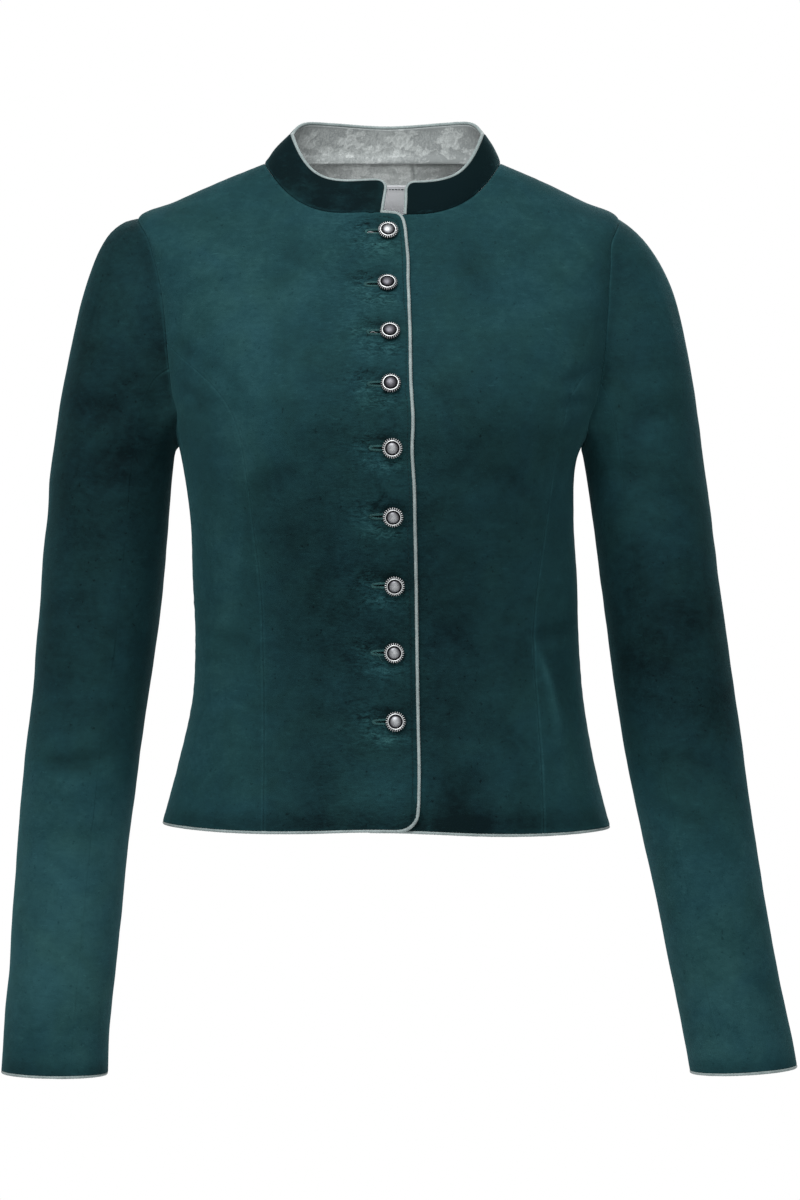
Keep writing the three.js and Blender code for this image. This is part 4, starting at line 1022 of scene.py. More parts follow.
# %% [markdown]
# ## From a grid of points to a piece of cloth
#
# Every piece of cloth here is the same thing: an outer grid of points, an inner one a cloth's
# thickness away, and a rim between them. Near an edge the two layers curve together, as a
# turned edge does. At a seam the cloth only dips a little, towards its neighbour.
#
# Solidify could give the thickness too, but then the inner side couldn't have its own rolled
# rim, so the two layers are computed.

# %% Cloth maker


def rolled(distance, radius):
    """How far a layer curves in near an edge, for a quarter circle of that radius."""
    near = np.clip(1 - distance / radius, 0, 1)
    return radius * (1 - np.sqrt(1 - near ** 2))


def dip(distance, depth, width):
    return depth * np.exp(-(distance / width) ** 2)


def edge_distances(points):
    """Distances of grid points from the first and last column and row, along the cloth."""
    across, width = path_lengths(points, 1)
    along, height = path_lengths(points, 0)
    return {"first_column": across, "last_column": width - across,
            "first_row": along, "last_row": height - along}


def mesh_object(name, verts, faces, materials, indices=None):
    mesh = bpy.data.meshes.new(name)
    mesh.from_pydata(np.asarray(verts) * MM, [], faces)
    for material in materials:
        mesh.materials.append(material)
    if indices is not None:
        mesh.polygons.foreach_set("material_index", indices)
    mesh.polygons.foreach_set("use_smooth", np.ones(len(mesh.polygons), bool))
    return new_object(name, mesh)


def put_uv(mesh, chart):
    """A UV map from one chart point per vertex."""
    loops = np.zeros(len(mesh.loops), np.int32)
    mesh.loops.foreach_get("vertex_index", loops)
    layer = mesh.uv_layers.new(name="UVMap")
    layer.data.foreach_set("uv", np.asarray(chart, float)[loops].ravel())


def put_number(mesh, name, values):
    attribute = mesh.attributes.new(name, "FLOAT", "POINT")
    attribute.data.foreach_set("value", np.asarray(values, float).ravel())


def cloth(name, outer, inner, tone_and_shading, face_cloth=velvet, back_cloth=lining):
    """One closed piece of cloth from an outer and an inner grid, in millimetres."""
    rows, columns = outer.shape[:2]
    count = rows * columns
    index = np.arange(count).reshape(rows, columns)
    a, b = index[:-1, :-1].ravel(), index[:-1, 1:].ravel()
    c, d = index[1:, 1:].ravel(), index[1:, :-1].ravel()
    front = np.stack([a, b, c, d], axis=1)
    back = np.stack([d, c, b, a], axis=1) + count
    loop = np.concatenate([index[0, :-1], index[:-1, -1], index[-1, :0:-1], index[:0:-1, 0]])
    following = np.roll(loop, -1)
    rim = np.stack([following, loop, loop + count, following + count], axis=1)
    faces = np.concatenate([front, back, rim])
    verts = np.concatenate([outer.reshape(-1, 3), inner.reshape(-1, 3)])
    corner = verts[front]
    facing = np.cross(corner[:, 1] - corner[:, 0], corner[:, 3] - corner[:, 0])
    thickness = verts[front[:, 0]] - verts[front[:, 0] + count]
    if (facing * thickness).sum() < 0:
        faces = faces[:, ::-1]
    indices = np.concatenate([np.zeros(len(front), np.int32), np.ones(len(back), np.int32),
                              np.zeros(len(rim), np.int32)])
    made = mesh_object(name, verts, faces.tolist(), [face_cloth, back_cloth], indices)
    across, width = path_lengths(outer, 1)
    along, _ = path_lengths(outer, 0)
    chart = np.stack([across - width / 2, along], axis=-1).reshape(-1, 2) * MM
    put_uv(made.data, np.concatenate([chart, chart]))
    # each point's tone: partly uneven nap, partly painted light and shade
    put_number(made.data, "tone_and_shading", np.tile(np.broadcast_to(tone_and_shading, (rows, columns)).ravel(), 2))
    return made


def stand_for(made, node):
    """Hangs a piece on the one body and hides the CAD node that it stands for."""
    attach(made, "root")
    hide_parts(node)


def finish_cloth(made, node):
    """Hangs a piece on the one body and hides the CAD node that it stands for."""
    stand_for(made, node)


print("cloth maker ready")

# %% [markdown]
# ## How an edge behaves
#
# A free edge is turned and pressed, so both layers roll together there. A sewn edge sinks into
# its seam, which is painted darker as shade, and a thin line beside it is painted lighter, as a
# painted highlight on the nap there. Small puckers run along every seam, because the thread is a
# little shorter than the pile around it.

# %% Edges, relief and tone
ROLL = 0.8                     # radius of a rolled edge
SEAM_DEPTH, SEAM_WIDTH = 0.4, 1.1
RIDGE_PLACE, RIDGE_WIDTH = 1.2, 0.7          # where the painted highlight beside a seam lies, and how wide it is
# how strong the painted highlight beside a seam is, and the painted shade in the seam itself
RIDGE_HIGHLIGHT, SEAM_GROOVE_SHADE = 0.26, 0.08
GATHER, GATHER_LENGTH, GATHER_REACH = 0.22, 8.5, 9     # the small puckers along every seam


def ease(value, low, high):
    """0 below low, 1 above high, and a soft step between."""
    t = np.clip((value - low) / (high - low), 0, 1)
    return t * t * (3 - 2 * t)


def edge_shapes(points, free, u, v, seed, seen, sunk_inside=1.0):
    """What a piece's four edges add outside and inside, and to its tone: a painted highlight beside
    each seam and painted shade in it.

    free says for each edge how far it is a free edge, 1, rather than a seam, 0. seen says how
    clearly its seams show, and sunk_inside how far the inner side follows, or -1 where the
    inner side is the one that shows.
    """
    outside = np.zeros(points.shape[:2])
    inside, tone_and_shading = outside.copy(), outside.copy()
    nearest = np.full(points.shape[:2], 1e9)
    for name, distance in edge_distances(points).items():
        share = free.get(name, 0.0)
        roll = rolled(distance, ROLL) * share
        sink = dip(distance, SEAM_DEPTH * seen, SEAM_WIDTH) * (1 - share)
        outside -= roll + sink
        inside += roll - sink * sunk_inside
        ridge = np.exp(-((distance - RIDGE_PLACE) / RIDGE_WIDTH) ** 2)
        ridge *= 0.6 + 0.4 * ripples(u, v, seed + 2, 6)
        # a painted highlight beside the seam, and painted shade in it
        tone_and_shading += (1 - share) * seen * (RIDGE_HIGHLIGHT * ridge - SEAM_GROOVE_SHADE * dip(distance, 1.0, 0.6))
        nearest = np.minimum(nearest, distance + 60 * share)
    gathered = GATHER * ripples(u, v, seed, GATHER_LENGTH) * np.exp(-(nearest / GATHER_REACH) ** 2)
    gathered *= ease(nearest, 0.2, 2.5) * seen
    return outside + gathered, inside + gathered, tone_and_shading


def front_relief(x, z):
    return (creases(x, z, FRONT_CREASES) + creases(x, z, PUCKERS)
            + 0.34 * ripples(x, z, 3, 66) + 0.10 * ripples(x, z, 4, 21, stretch=1.7))


def back_relief(x, z):
    return (creases(x, z, BACK_CREASES)
            + 0.40 * ripples(x, z, 8, 70) + 0.10 * ripples(x, z, 9, 22, stretch=1.7))


# Soft oval spots where the velvet is painted lighter (or darker, below 0) than its middle tone.
# They are partly uneven nap and partly painted light and shade: the upper chest and shoulder blades
# lighter where they lean up towards the lamps, the waist darker, and lines of painted highlight and
# shade beside a few creases.
SPOT_COLUMNS = "strength x z wide high"
FRONT_SHADING_SPOTS = table(
    SPOT_COLUMNS,
    (0.10, 70, -130, 70, 70), (0.07, -85, -140, 60, 80), (-0.10, 10, -330, 120, 80),
    (0.05, 74, -452, 66, 26), (-0.08, 85, -466, 38, 30), (0.08, 118, -400, 10, 50),
    (-0.10, 40, -400, 26, 80), (-0.04, -60, -300, 60, 120), (-0.08, -72, -320, 18, 110),
    (0.06, -110, -330, 18, 120), (-0.05, -40, -450, 90, 50), (0.12, -4, -462, 20, 14))
BACK_SHADING_SPOTS = table(
    SPOT_COLUMNS,
    (0.09, -60, -110, 80, 60), (0.08, 70, -140, 60, 70), (-0.10, 0, -320, 120, 70),
    (0.10, -50, -450, 80, 26))
# painted shade along a line just above the hem
HEM_SHADE = dict(depth=0.20, height=-488, width=9)


def body_shading(x, z, rows):
    """The tone of a table of spots, and the painted shade of a line along the hem."""
    tone = -dip(z - HEM_SHADE["height"], HEM_SHADE["depth"], HEM_SHADE["width"])
    for strength, *place in zip(*rows.values()):
        tone += strength * spot_light(x, z, *place)
    return tone


def front_shading(x, z):
    """The front's spots, and a band of painted shade down its middle that starts below the throat
    and deepens below the bust, where the front turns down from the lamps.
    """
    middle_shade = 0.05 + 0.11 * ease(-z, 90, 200) + 0.05 * ease(x, 0, 60)
    middle_shade *= np.exp(-((x - 15) / 105) ** 4) * (1 - ease(z, -75, -45))
    return body_shading(x, z, FRONT_SHADING_SPOTS) - middle_shade


SIDE_SMOOTH = 0.35             # cosine of the angle up to which the relief grows from the sides


def surface_at(spots, side):
    """Points, normals and the relief of the body at some spots. side may name a front."""
    points, normals = form_point(spots), form_normal(spots)
    x, z = points[..., 0], points[..., 2]
    front = np.cos(spots[..., 0]) > 0
    away_from_side = ease(np.abs(np.cos(spots[..., 0])), 0.0, SIDE_SMOOTH)
    height = np.where(front, front_relief(x, z), back_relief(x, z)) * away_from_side
    if side:
        height = height + overlap_lift(side, x)
    return points, normals, height


def overlap_lift(side, x):
    """The fronts leave the form where they lap: the right one over it, the left one under."""
    if side == "right":
        return OVERLAP_LIFT * ease(x, -42, -14)
    return -OVERLAP_LIFT * (1 - ease(x, 24, 52))


print("relief at a crease, mm:", front_relief(np.array([118.0]), np.array([-402.0])).round(2))

# %% [markdown]
# ## The fronts
#
# Each front is one piece from the princess seam to its edge. Its outer side follows the
# princess seam up to the armhole, and then the armhole to the shoulder. Its other side is the
# front edge, the throat corner and the neck line. The last row is the shoulder seam. Rows are
# moved a little so that one falls on each corner.

# %% Panels
FRONT_STEPS = COARSE["lower"] + COARSE["armhole"]
THROAT_STEP = COARSE["lower"]
EDGE_SEAM_INSET = 4.0          # the line of edge stitches, in from the front edge
EDGE_SEAM_DEPTH, EDGE_SEAM_WIDTH, EDGE_SEAM_SHADE = 0.25, 0.9, 0.35
SEAMS_SEEN = 0.8               # how clearly the seams of the body show below the bust
SEAMS_SEEN_HIGH = 0.4          # and from there up
FOLD_SHADE = 0.10              # painted shade in a crease's trough and painted light on its ridges, for each millimetre of depth


def row_steps(steps, length, pitch, corners):
    """Places of the rows in coarse steps, with one row exactly on each corner."""
    rows = graded(length, pitch) * steps
    for corner in corners:
        rows[np.argmin(np.abs(rows - corner))] = corner
    return rows


# A panel's rough length and width only say how many rows and columns it gets.
FRONT_ROWS = row_steps(FRONT_STEPS, 575, PITCH_FRONT,
                       (THROAT_STEP - THROAT_STEPS, THROAT_STEP - 2, THROAT_STEP))


def panel_spots(left, right, rows, width, pitch):
    """Spots of a panel between two edges, each a list of stretches."""
    a, b = run_along(left, rows), run_along(right, rows)
    return lerp(a[:, None, :], b[:, None, :], graded(width, pitch)[None, :, None])


def body_cloth(name, spots, free, seed, side=None, shape=None, groove=None):
    """One panel, and its pattern under the creases. side names a front, which also lies over
    or under the other one. shape changes the pattern, and groove names a stitched edge."""
    flat, normals, height = surface_at(spots, side)
    x, z = flat[..., 0], flat[..., 2]
    seen = lerp(SEAMS_SEEN, SEAMS_SEEN_HIGH, ease(z, -270, -200))
    outside, inside, tone_and_shading = edge_shapes(flat, free, x, z, seed, seen)
    front = np.cos(spots[..., 0]) > 0
    folds = np.where(front, creases(x, z, FRONT_CREASES) + creases(x, z, PUCKERS),
                     creases(x, z, BACK_CREASES))
    # The tone: the spots, partly uneven nap and partly painted light and shade, and painted shade
    # in crease troughs with painted light on their ridges.
    tone = np.where(front, front_shading(x, z), body_shading(x, z, BACK_SHADING_SPOTS)) + FOLD_SHADE * folds
    if side:
        tone = tone + rubbed_nap_and_button_shade(x, z)
    if groove:
        inward = edge_distances(flat)[groove] - EDGE_SEAM_INSET
        mark = dip(inward, EDGE_SEAM_DEPTH, EDGE_SEAM_WIDTH)
        mark = mark * (FRONT_ROWS <= THROAT_STEP - 0.4)[:, None]
        outside = outside - mark
        tone_and_shading = tone_and_shading - EDGE_SEAM_SHADE * mark
    if shape is not None:
        flat = shape(flat)
    outer = flat + normals * (height + outside)[..., None]
    inner = flat + normals * (height + inside - SHELL)[..., None]
    made = cloth(name, outer, inner, 0.5 + tone + tone_and_shading)
    rub = crushed_nap(x, z) if side else 0 * x
    put_number(made.data, "rub", np.concatenate([rub.ravel(), 0 * rub.ravel()]))
    return made, flat


CORNER_FADE = 30               # how far up the hem's round corner still shifts the cloth


def round_hem_corner(points):
    """Lifts the right front's hem towards its edge, along a quarter circle."""
    points = points.copy()
    edge = FRONT_EDGE["x"][0]
    inside = np.clip(HEM_CORNER - np.abs(edge - points[..., 0]), 0, HEM_CORNER)
    rise = HEM_CORNER - np.sqrt(HEM_CORNER ** 2 - inside ** 2)
    points[..., 2] += rise * (1 - ease(points[..., 2] - points[0:1, :, 2], 0, CORNER_FADE))
    return points


def outer_edge(side, face):
    seams = SEAMS[side]
    return [seams[face + "_princess"], seams[face]["upper"]]


below_neck = FRONT_ROWS <= THROAT_STEP + 1e-9
front_free = below_neck.astype(float)[:, None]
right_spots = panel_spots(outer_edge("right", "front"), front_edge("right"), FRONT_ROWS, 130,
                          PITCH_FRONT)
left_spots = panel_spots(front_edge("left"), outer_edge("left", "front"), FRONT_ROWS, 140,
                         PITCH_FRONT)
front_right, front_right_flat = body_cloth(
    "velvet_front_right", right_spots, {"last_column": front_free, "first_row": 1.0}, 31,
    side="right", shape=round_hem_corner, groove="last_column")
front_left, front_left_flat = body_cloth(
    "velvet_front_left", left_spots, {"first_column": front_free, "first_row": 1.0}, 32,
    side="left")
print("front grid, rows and columns:", right_spots.shape[:2])

# %% [markdown]
# ## Side panels and backs
#
# The side panels end in a point at the armhole. The last row stops just short of it, so that
# no cloth has zero width. The two backs meet at the centre back seam. A tailored back is
# shaped by these seams alone, without darts.

# %% Side panels and backs
TIP_REACH = 0.985              # of the last coarse step
patterns = {}                  # flat points and spots of each panel, for the piping


def panel(node, spots, seed):
    """A side panel or a back, which has only its hem free."""
    made, flat = body_cloth("velvet_" + node, spots, {"first_row": 1.0}, seed)
    patterns[node] = flat, spots
    return made, flat


def side_cloth(side, face, seed):
    seams = SEAMS[side]
    rows = row_steps(COARSE["lower"], 430, PITCH_BODY, (COARSE["side"],))
    rows = rows * (COARSE["lower"] - 1 + TIP_REACH) / COARSE["lower"]
    rows[np.argmin(np.abs(rows - COARSE["side"]))] = COARSE["side"]
    pair = ([seams[face + "_princess"]], [seams["side"], seams[face]["lower"]])
    if (side == "left") != (face == "front"):
        pair = pair[::-1]
    return panel(f"side_{face}_{side}", panel_spots(*pair, rows, 88, PITCH_BODY), seed)


def back_cloth(side, seed):
    rows = row_steps(FRONT_STEPS, 560, PITCH_FRONT, (COARSE["lower"] - 1, COARSE["lower"]))
    neck = neck_line(side, "back")
    middle = [between((neck[0][0], 0), neck[0], COARSE["lower"] - 1), neck]
    pair = (middle, outer_edge(side, "back"))
    if side == "left":
        pair = pair[::-1]
    return panel("back_" + side, panel_spots(*pair, rows, 130, PITCH_BACK), seed)


side_pieces = {(face, side): side_cloth(side, face, 40 + i)
               for i, (face, side) in enumerate(
                   (f, s) for f in ("front", "back") for s in ("right", "left"))}
backs = {side: back_cloth(side, 50 + i) for i, side in enumerate(("right", "left"))}
print("side panels and backs:", sorted(o.name for o, _ in [*side_pieces.values(), *backs.values()]))

# %% [markdown]
# ## Sleeves
#
# A two-piece sleeve has a wide upper piece and a narrow under piece, and the two bend forward
# at the elbow. It's a tube, so one function gives a point for a place round it and a place
# down it. The first ring is the armhole itself, seam for seam, and its shape fades out over
# the next rings. Two strips of that tube become the two pieces.

# %% Sleeves
LOOP_STEPS = 2 * (COARSE["armhole"] + COARSE["underarm"])
SLEEVE_ROUND = 48.0            # mean radius, for the chart that creases are placed on
SLEEVE_SHADES = {               # painted light and shade from the armhole to the cuff: the upper arm darker, the forearm, which leans up towards the lamps, lighter
    "right": (-0.28, -0.38, -0.33, -0.25, -0.18, 0.06, 0.17, 0.15, 0.0),
    "left": (-0.10, -0.15, -0.20, -0.34, -0.36, -0.08, 0.08, 0.09, 0.12)}
SLEEVE_SEAM_SEEN = 0.08        # the nap nearly hides the sleeve's own seams
SLEEVE_WIDTHS = {"upper": 172, "under": 88}  # rough ones, for the number of columns
SLEEVE_SAMPLES = 1600          # points of a ring
NORMAL_STEP = 0.03             # in columns and rings
TUCK = 0.5                     # how far a sleeve's end reaches into the armhole seam
CAP_SMOOTH = 22                # how far down the relief grows from the armhole


def sleeve_form(side):
    """A function that gives points of a sleeve, and the lengths and turns of its rings."""
    seams = SEAMS[side]
    stretches = [seams["front"]["upper"][::-1], seams["front"]["lower"][::-1],
                 seams["back"]["lower"], seams["back"]["upper"]]
    samples = np.arange(SLEEVE_SAMPLES + 1)
    half = SLEEVE_SAMPLES // 2
    start = form_point(run_along(stretches, np.linspace(0, LOOP_STEPS, SLEEVE_SAMPLES + 1)))
    run = run_of(start)
    turns = np.where(samples <= half, run / run[half],
                     1 + (run - run[half]) / (run[-1] - run[half])) * math.pi
    rows = SLEEVES[side]

    def oval(row):
        outward, sideways = (1 + np.cos(turns)) / 2, np.sin(turns)
        return np.stack([
            lerp(row["inner_x"], row["outer_x"], outward),
            row["middle_y"] - sideways * np.where(sideways > 0, row["front_y"], row["back_y"]),
            lerp(row["inner_z"], row["outer_z"], outward)], axis=-1)

    armhole = dict(outer_x=start[0, 0], outer_z=start[0, 2], inner_x=start[half, 0],
                   inner_z=start[half, 2], front_y=rows["front_y"][0],
                   back_y=rows["back_y"][0], middle_y=0.0)
    own_shape = start - oval(armhole)
    rings = [start - np.array([TUCK if side == "left" else -TUCK, 0, 0])]
    for k in range(len(rows["outer_x"])):
        kept = ARMHOLE_FADE[k] if k < len(ARMHOLE_FADE) else 0.0
        rings.append(oval({name: values[k] for name, values in rows.items()}) + own_shape * kept)
    rings = np.array(rings)
    down = np.linalg.norm(np.diff(rings[:, :-1], axis=0), axis=-1).mean(axis=1)
    down = np.concatenate([[0], np.cumsum(down)])

    def sample_at(columns):
        return np.mod(columns, LOOP_STEPS) / LOOP_STEPS * SLEEVE_SAMPLES

    def points(columns, at):
        place = sample_at(columns)
        i = np.minimum(place.astype(int), SLEEVE_SAMPLES - 1)
        ring = lerp(rings[:, i], rings[:, i + 1], (place - i)[None, :, None])
        return smooth(ring, at)

    def turn_at(columns):
        turn = np.interp(sample_at(columns), samples, turns)
        return np.where(turn > math.pi, turn - 2 * math.pi, turn)

    return points, down, turn_at


def sleeve_normals(side, points, columns, at, last, step):
    """The outward normals of a sleeve, from its neighbouring columns and rings."""
    around = points(columns + step, at) - points(columns - step, at)
    low, high = np.maximum(at - step, 0), np.minimum(at + step, last)
    normals = unit(np.cross(around, points(columns, high) - points(columns, low)))
    return normals * (1 if side == "left" else -1)


def sleeve_shading(u, v, side, length):
    """Painted light and shade: the upper arm darker than the forearm, which leans up towards the
    lamps, a lighter spot high on the front, darker just under the armhole seam, and the cuff's edge
    darker again.
    """
    values = SLEEVE_SHADES[side]
    tone = smooth(values, v / length * (len(values) - 1))
    tone = tone + 0.08 * spot_light(u, v, 40, 40, 50, 40)
    tone -= 0.20 * ease(v, 0.0, 6.0) * np.exp(-v / 5)
    return tone - 0.22 * ease(v, length - 16, length)


def sleeve_cloth(side, part, seed):
    points, down, turn_at = sleeve_form(side)
    first, last = SLEEVE_SEAMS
    if part == "upper":
        first, last = last, first + LOOP_STEPS
    columns = lerp(first, last, graded(SLEEVE_WIDTHS[part], PITCH_BODY))
    if side == "left":
        columns = columns[::-1]
    length = down[-1]
    v = graded(length, PITCH_BODY) * length
    at = np.interp(v, down, np.arange(len(down)))
    flat = points(columns, at)
    normals = sleeve_normals(side, points, columns, at, len(down) - 1.0, NORMAL_STEP)
    u = turn_at(columns)[None, :] * SLEEVE_ROUND + 0 * v[:, None]
    v = v[:, None] + 0 * u
    slant = flat[..., 1] + 0.6 * flat[..., 0]
    folds = creases(u, v, SLEEVE_CREASES[side])
    height = folds + 0.45 * ripples(slant, flat[..., 2], seed, 80)
    height = (height + 0.12 * ripples(slant, flat[..., 2], seed + 1, 24)) * ease(v, 0, CAP_SMOOTH)
    folds = folds * ease(v, 0, CAP_SMOOTH)
    armhole = np.exp(-v / 12)
    outside, inside, tone_and_shading = edge_shapes(flat, {"last_row": 1.0}, slant, flat[..., 2], seed,
                                       lerp(SLEEVE_SEAM_SEEN, 1.0, armhole))
    outer = flat + normals * (height + outside)[..., None]
    inner = flat + normals * (height + inside - SHELL)[..., None]
    # painted light and shade along the sleeve, and in its creases at half the body's strength
    tone = 0.5 + sleeve_shading(u, v, side, length) + tone_and_shading + FOLD_SHADE / 2 * folds
    return cloth(f"velvet_sleeve_{part}_{side}", outer[::-1], inner[::-1], tone[::-1]), flat


sleeves = {(part, side): sleeve_cloth(side, part, 60 + 5 * i)
           for i, (part, side) in enumerate(
               (p, s) for p in ("upper", "under") for s in ("right", "left"))}
print("mean sleeve length, mm:",
      {side: round(float(sleeve_form(side)[1][-1])) for side in SLEEVES})

# %% [markdown]
# ## Collar, facing and patch
#
# The stand collar grows out of the neck line: its foot is the neck line and its top is a ring
# of its own. It is velvet outside and brocade inside, with rounded front corners. A square of
# points can be rounded without a break by the mapping that turns a square into a disc.
#
# The back neck facing is brocade too, and hangs loosely inside the back with a narrow seam in
# it. A bare satin patch is stitched on top, as on most bought jackets, and stays plain.

# %% Collar
COLLAR_STEPS = (0, 6, 13, 20, 26)
CORNER = 6.5                   # radius of its front corners
COLLAR_STEP = 0.02             # for its normals
COLLAR_LENGTH, COLLAR_HEIGHT = 335, 33       # rough ones, for the number of points
COLLAR_ROUND = 55              # mean radius, for the chart of its ripples


def collar_angle(column):
    ring = ring_at(float(NECK))
    depth = ring["side_y"] - ring["front_y"]
    left = math.atan2(COLLAR_ENDS["left"] - ring["middle_x"], depth)
    right = 2 * math.pi + math.atan2(COLLAR_ENDS["right"] - ring["middle_x"], depth)
    angles = (left, math.pi / 2, math.pi, 1.5 * math.pi, right)
    return np.interp(column, COLLAR_STEPS, angles)


def collar_form(column, share):
    """Points of the collar: share runs from its foot, 0, to its top, 1."""
    angle = collar_angle(column)
    base = form_point(np.stack([angle, np.full(angle.shape, float(NECK))], axis=-1))
    sweep = np.where(np.cos(angle) > 0, COLLAR_SWEEP["front"], COLLAR_SWEEP["back"])
    top = ring_point(COLLAR_TOP, angle, sweep)
    top[..., 2] -= COLLAR_DIP * np.maximum(0, -np.cos(angle)) ** 3
    bow = COLLAR_BOW * np.sin(share * math.pi)
    outward = np.stack([np.sin(angle), -np.cos(angle), 0 * angle], axis=-1)
    return lerp(base, top, share[..., None]) + outward * bow[..., None]


def collar_normal(column, share):
    last = float(COLLAR_STEPS[-1])
    around = (collar_form(np.minimum(column + COLLAR_STEP, last), share)
              - collar_form(np.maximum(column - COLLAR_STEP, 0), share))
    up = collar_form(column, share + COLLAR_STEP) - collar_form(column, share - COLLAR_STEP)
    return unit(np.cross(around, up))


def collar_lift(column, points):
    x = points[..., 0]
    middle = COLLAR_STEPS[2]
    front = np.abs(column - middle) > middle / 2
    lift = np.where(column < middle, overlap_lift("left", x), overlap_lift("right", x))
    return np.where(front, lift, 0.0)


def rounded_corner(column, share):
    """Takes the collar's upper front corners in along a quarter circle."""
    last = float(COLLAR_STEPS[-1])
    one, two = np.array([0.0, 1.0]), np.array([0.5, 0.5])
    step = np.linalg.norm(np.diff(collar_form(one, two), axis=0))
    height = np.linalg.norm(np.diff(collar_form(np.zeros(2), one), axis=0))
    from_end = np.minimum(column, last - column) * step
    a = np.clip((CORNER - from_end) / CORNER, 0, 1)
    b = np.clip((CORNER - (1 - share) * height) / CORNER, 0, 1)
    a, b = a * np.sqrt(1 - b * b / 2), b * np.sqrt(1 - a * a / 2)
    moved = (CORNER - a * CORNER) / step
    column = np.where(a > 0, np.where(column < last / 2, moved, last - moved), column)
    return column, np.where(b > 0, 1 - (CORNER - b * CORNER) / height, share)


def collar_cloth(name, depth, thickness, seed, tone, face_cloth, back_cloth, pitch, foot=0.0,
                 curl=0.0):
    """A layer of the collar, at a depth under the velvet's face. foot is the share it starts
    at, and curl how far its foot leans in."""
    columns = graded(COLLAR_LENGTH, pitch) * COLLAR_STEPS[-1]
    shares = lerp(foot, 1.0, graded(COLLAR_HEIGHT, pitch))
    column, share = np.meshgrid(columns, shares)
    column, share = rounded_corner(column, share)
    flat = collar_form(column, share)
    normals = collar_normal(column, share)
    lift = collar_lift(column, collar_form(column, 0 * share))
    u = collar_angle(column) * COLLAR_ROUND
    relief = 0.35 * ripples(u, flat[..., 2], seed, 34) + 0.10 * ripples(u, flat[..., 2], seed, 12)
    relief = relief * np.sin(np.clip(share, 0, 1) * math.pi)
    free = {"last_row": 1.0, "first_column": 1.0, "last_column": 1.0}
    sunk_inside = -1.0 if face_cloth is brocade else 1.0
    outside, inside, tone_and_shading = edge_shapes(flat, free, u, flat[..., 2], seed, 1.0, sunk_inside)
    scale = thickness / SHELL
    depth = depth + curl * ease(share, foot + 0.34, foot + 0.02)
    outer = flat + normals * (lift + relief - depth + outside * scale)[..., None]
    inner = flat + normals * (lift + relief - depth - thickness + inside * scale)[..., None]
    return cloth(name, outer, inner, 0.5 + tone_and_shading + tone(u, share, flat[..., 0]), face_cloth,
                 back_cloth), flat


def collar_shading(u, share, x):
    """Painted light and shade, with some random mottling: darker than the body, above all past the
    right end and in a shadow band under the top edge, lighter round the wearer's right side and at
    a spot near the right end."""
    tone = -0.46 - 0.12 * ease(x, -4, 30) + 0.05 * spot_light(x, share, -26, 0.35, 16, 0.3)
    tone += 0.08 * ripples(u, share * 30, 79, 40)
    tone += 0.06 * ease(-x, 30, 60) - 0.05 * ease(share, 0.55, 0.95)
    return tone + 0.05 * ripples(u, share * 30, 77, 15)


def collar_lining_shading(u, share, x):
    """Painted shade, with some random mottling: a dark line over the collar's foot, darker cloth
    just under its top edge, and darker towards the wearer's left.
    """
    return (-0.03 - 0.16 * ease(x, -10, 40) - 0.16 * ease(share, 0.9, 1.0)
            - 0.16 * ease(share, 0.22, -0.03) + 0.06 * ripples(u, share * 30, 78, 40))


collar_outer, collar_flat = collar_cloth("velvet_collar", 0.0, SHELL, 71, collar_shading, velvet,
                                         lining, 2.2)
collar_lining, collar_lining_flat = collar_cloth(
    "brocade_collar_lining", SHELL + SEAM_GAP, LINING, 71, collar_lining_shading, brocade, brocade, 2.4,
    foot=-0.035, curl=LINING + 0.3)
print("collar height at the front end, mm:",
      round(float(np.linalg.norm(collar_flat[-1, 60] - collar_flat[0, 60])), 1))

# %% Facing and patch
FACING_FROM, FACING_TO = math.radians(94), math.radians(266)
FACING_RINGS = {"shoulder": 1.3, "back": 3.4}
FACING_SEAM_X = 20.0
PATCH_WIDTH, PATCH_TOP, PATCH_BOTTOM, PATCH_OFFSET = 54.0, -9.0, -42.0, 8.0
PATCH_PITCH = 2.0
INNER_ROLL = 0.42              # radius of a rolled edge, as a share of the cloth's thickness


def inner_cloth(name, spots, depth, thickness, relief, face_cloth, curl=0.0, sewn_edge="",
                tone_and_shading=0.5):
    """A cloth that hangs inside the back, at a depth under the velvet's face. It is brought
    back out by curl."""
    flat, normals = form_point(spots), form_normal(spots)
    edges = edge_distances(flat)
    roll = sum(rolled(distance, thickness * INNER_ROLL) for edge, distance in edges.items()
               if edge != sewn_edge)
    outer = flat + normals * (relief - depth - roll + curl)[..., None]
    inner = flat + normals * (relief - depth - thickness + roll + curl)[..., None]
    return cloth(name, outer, inner, tone_and_shading, face_cloth, face_cloth), inner


shares = graded(45, PITCH_BODY)
turns = lerp(FACING_FROM, FACING_TO, graded(205, PITCH_BODY))
turn_grid, share_grid = np.meshgrid(turns, shares)
deep = lerp(FACING_RINGS["shoulder"], FACING_RINGS["back"], np.abs(np.cos(turn_grid)))
facing_spots = np.stack([turn_grid, NECK - (1 - share_grid) * deep], axis=-1)
facing_flat = form_point(facing_spots)
from_seam = facing_flat[..., 0] - FACING_SEAM_X
facing_seam = dip(from_seam, 1.0, 0.9)
facing_relief = 0.25 * ripples(facing_flat[..., 0], facing_flat[..., 2], 81, 30)
facing_relief += 0.55 * facing_seam
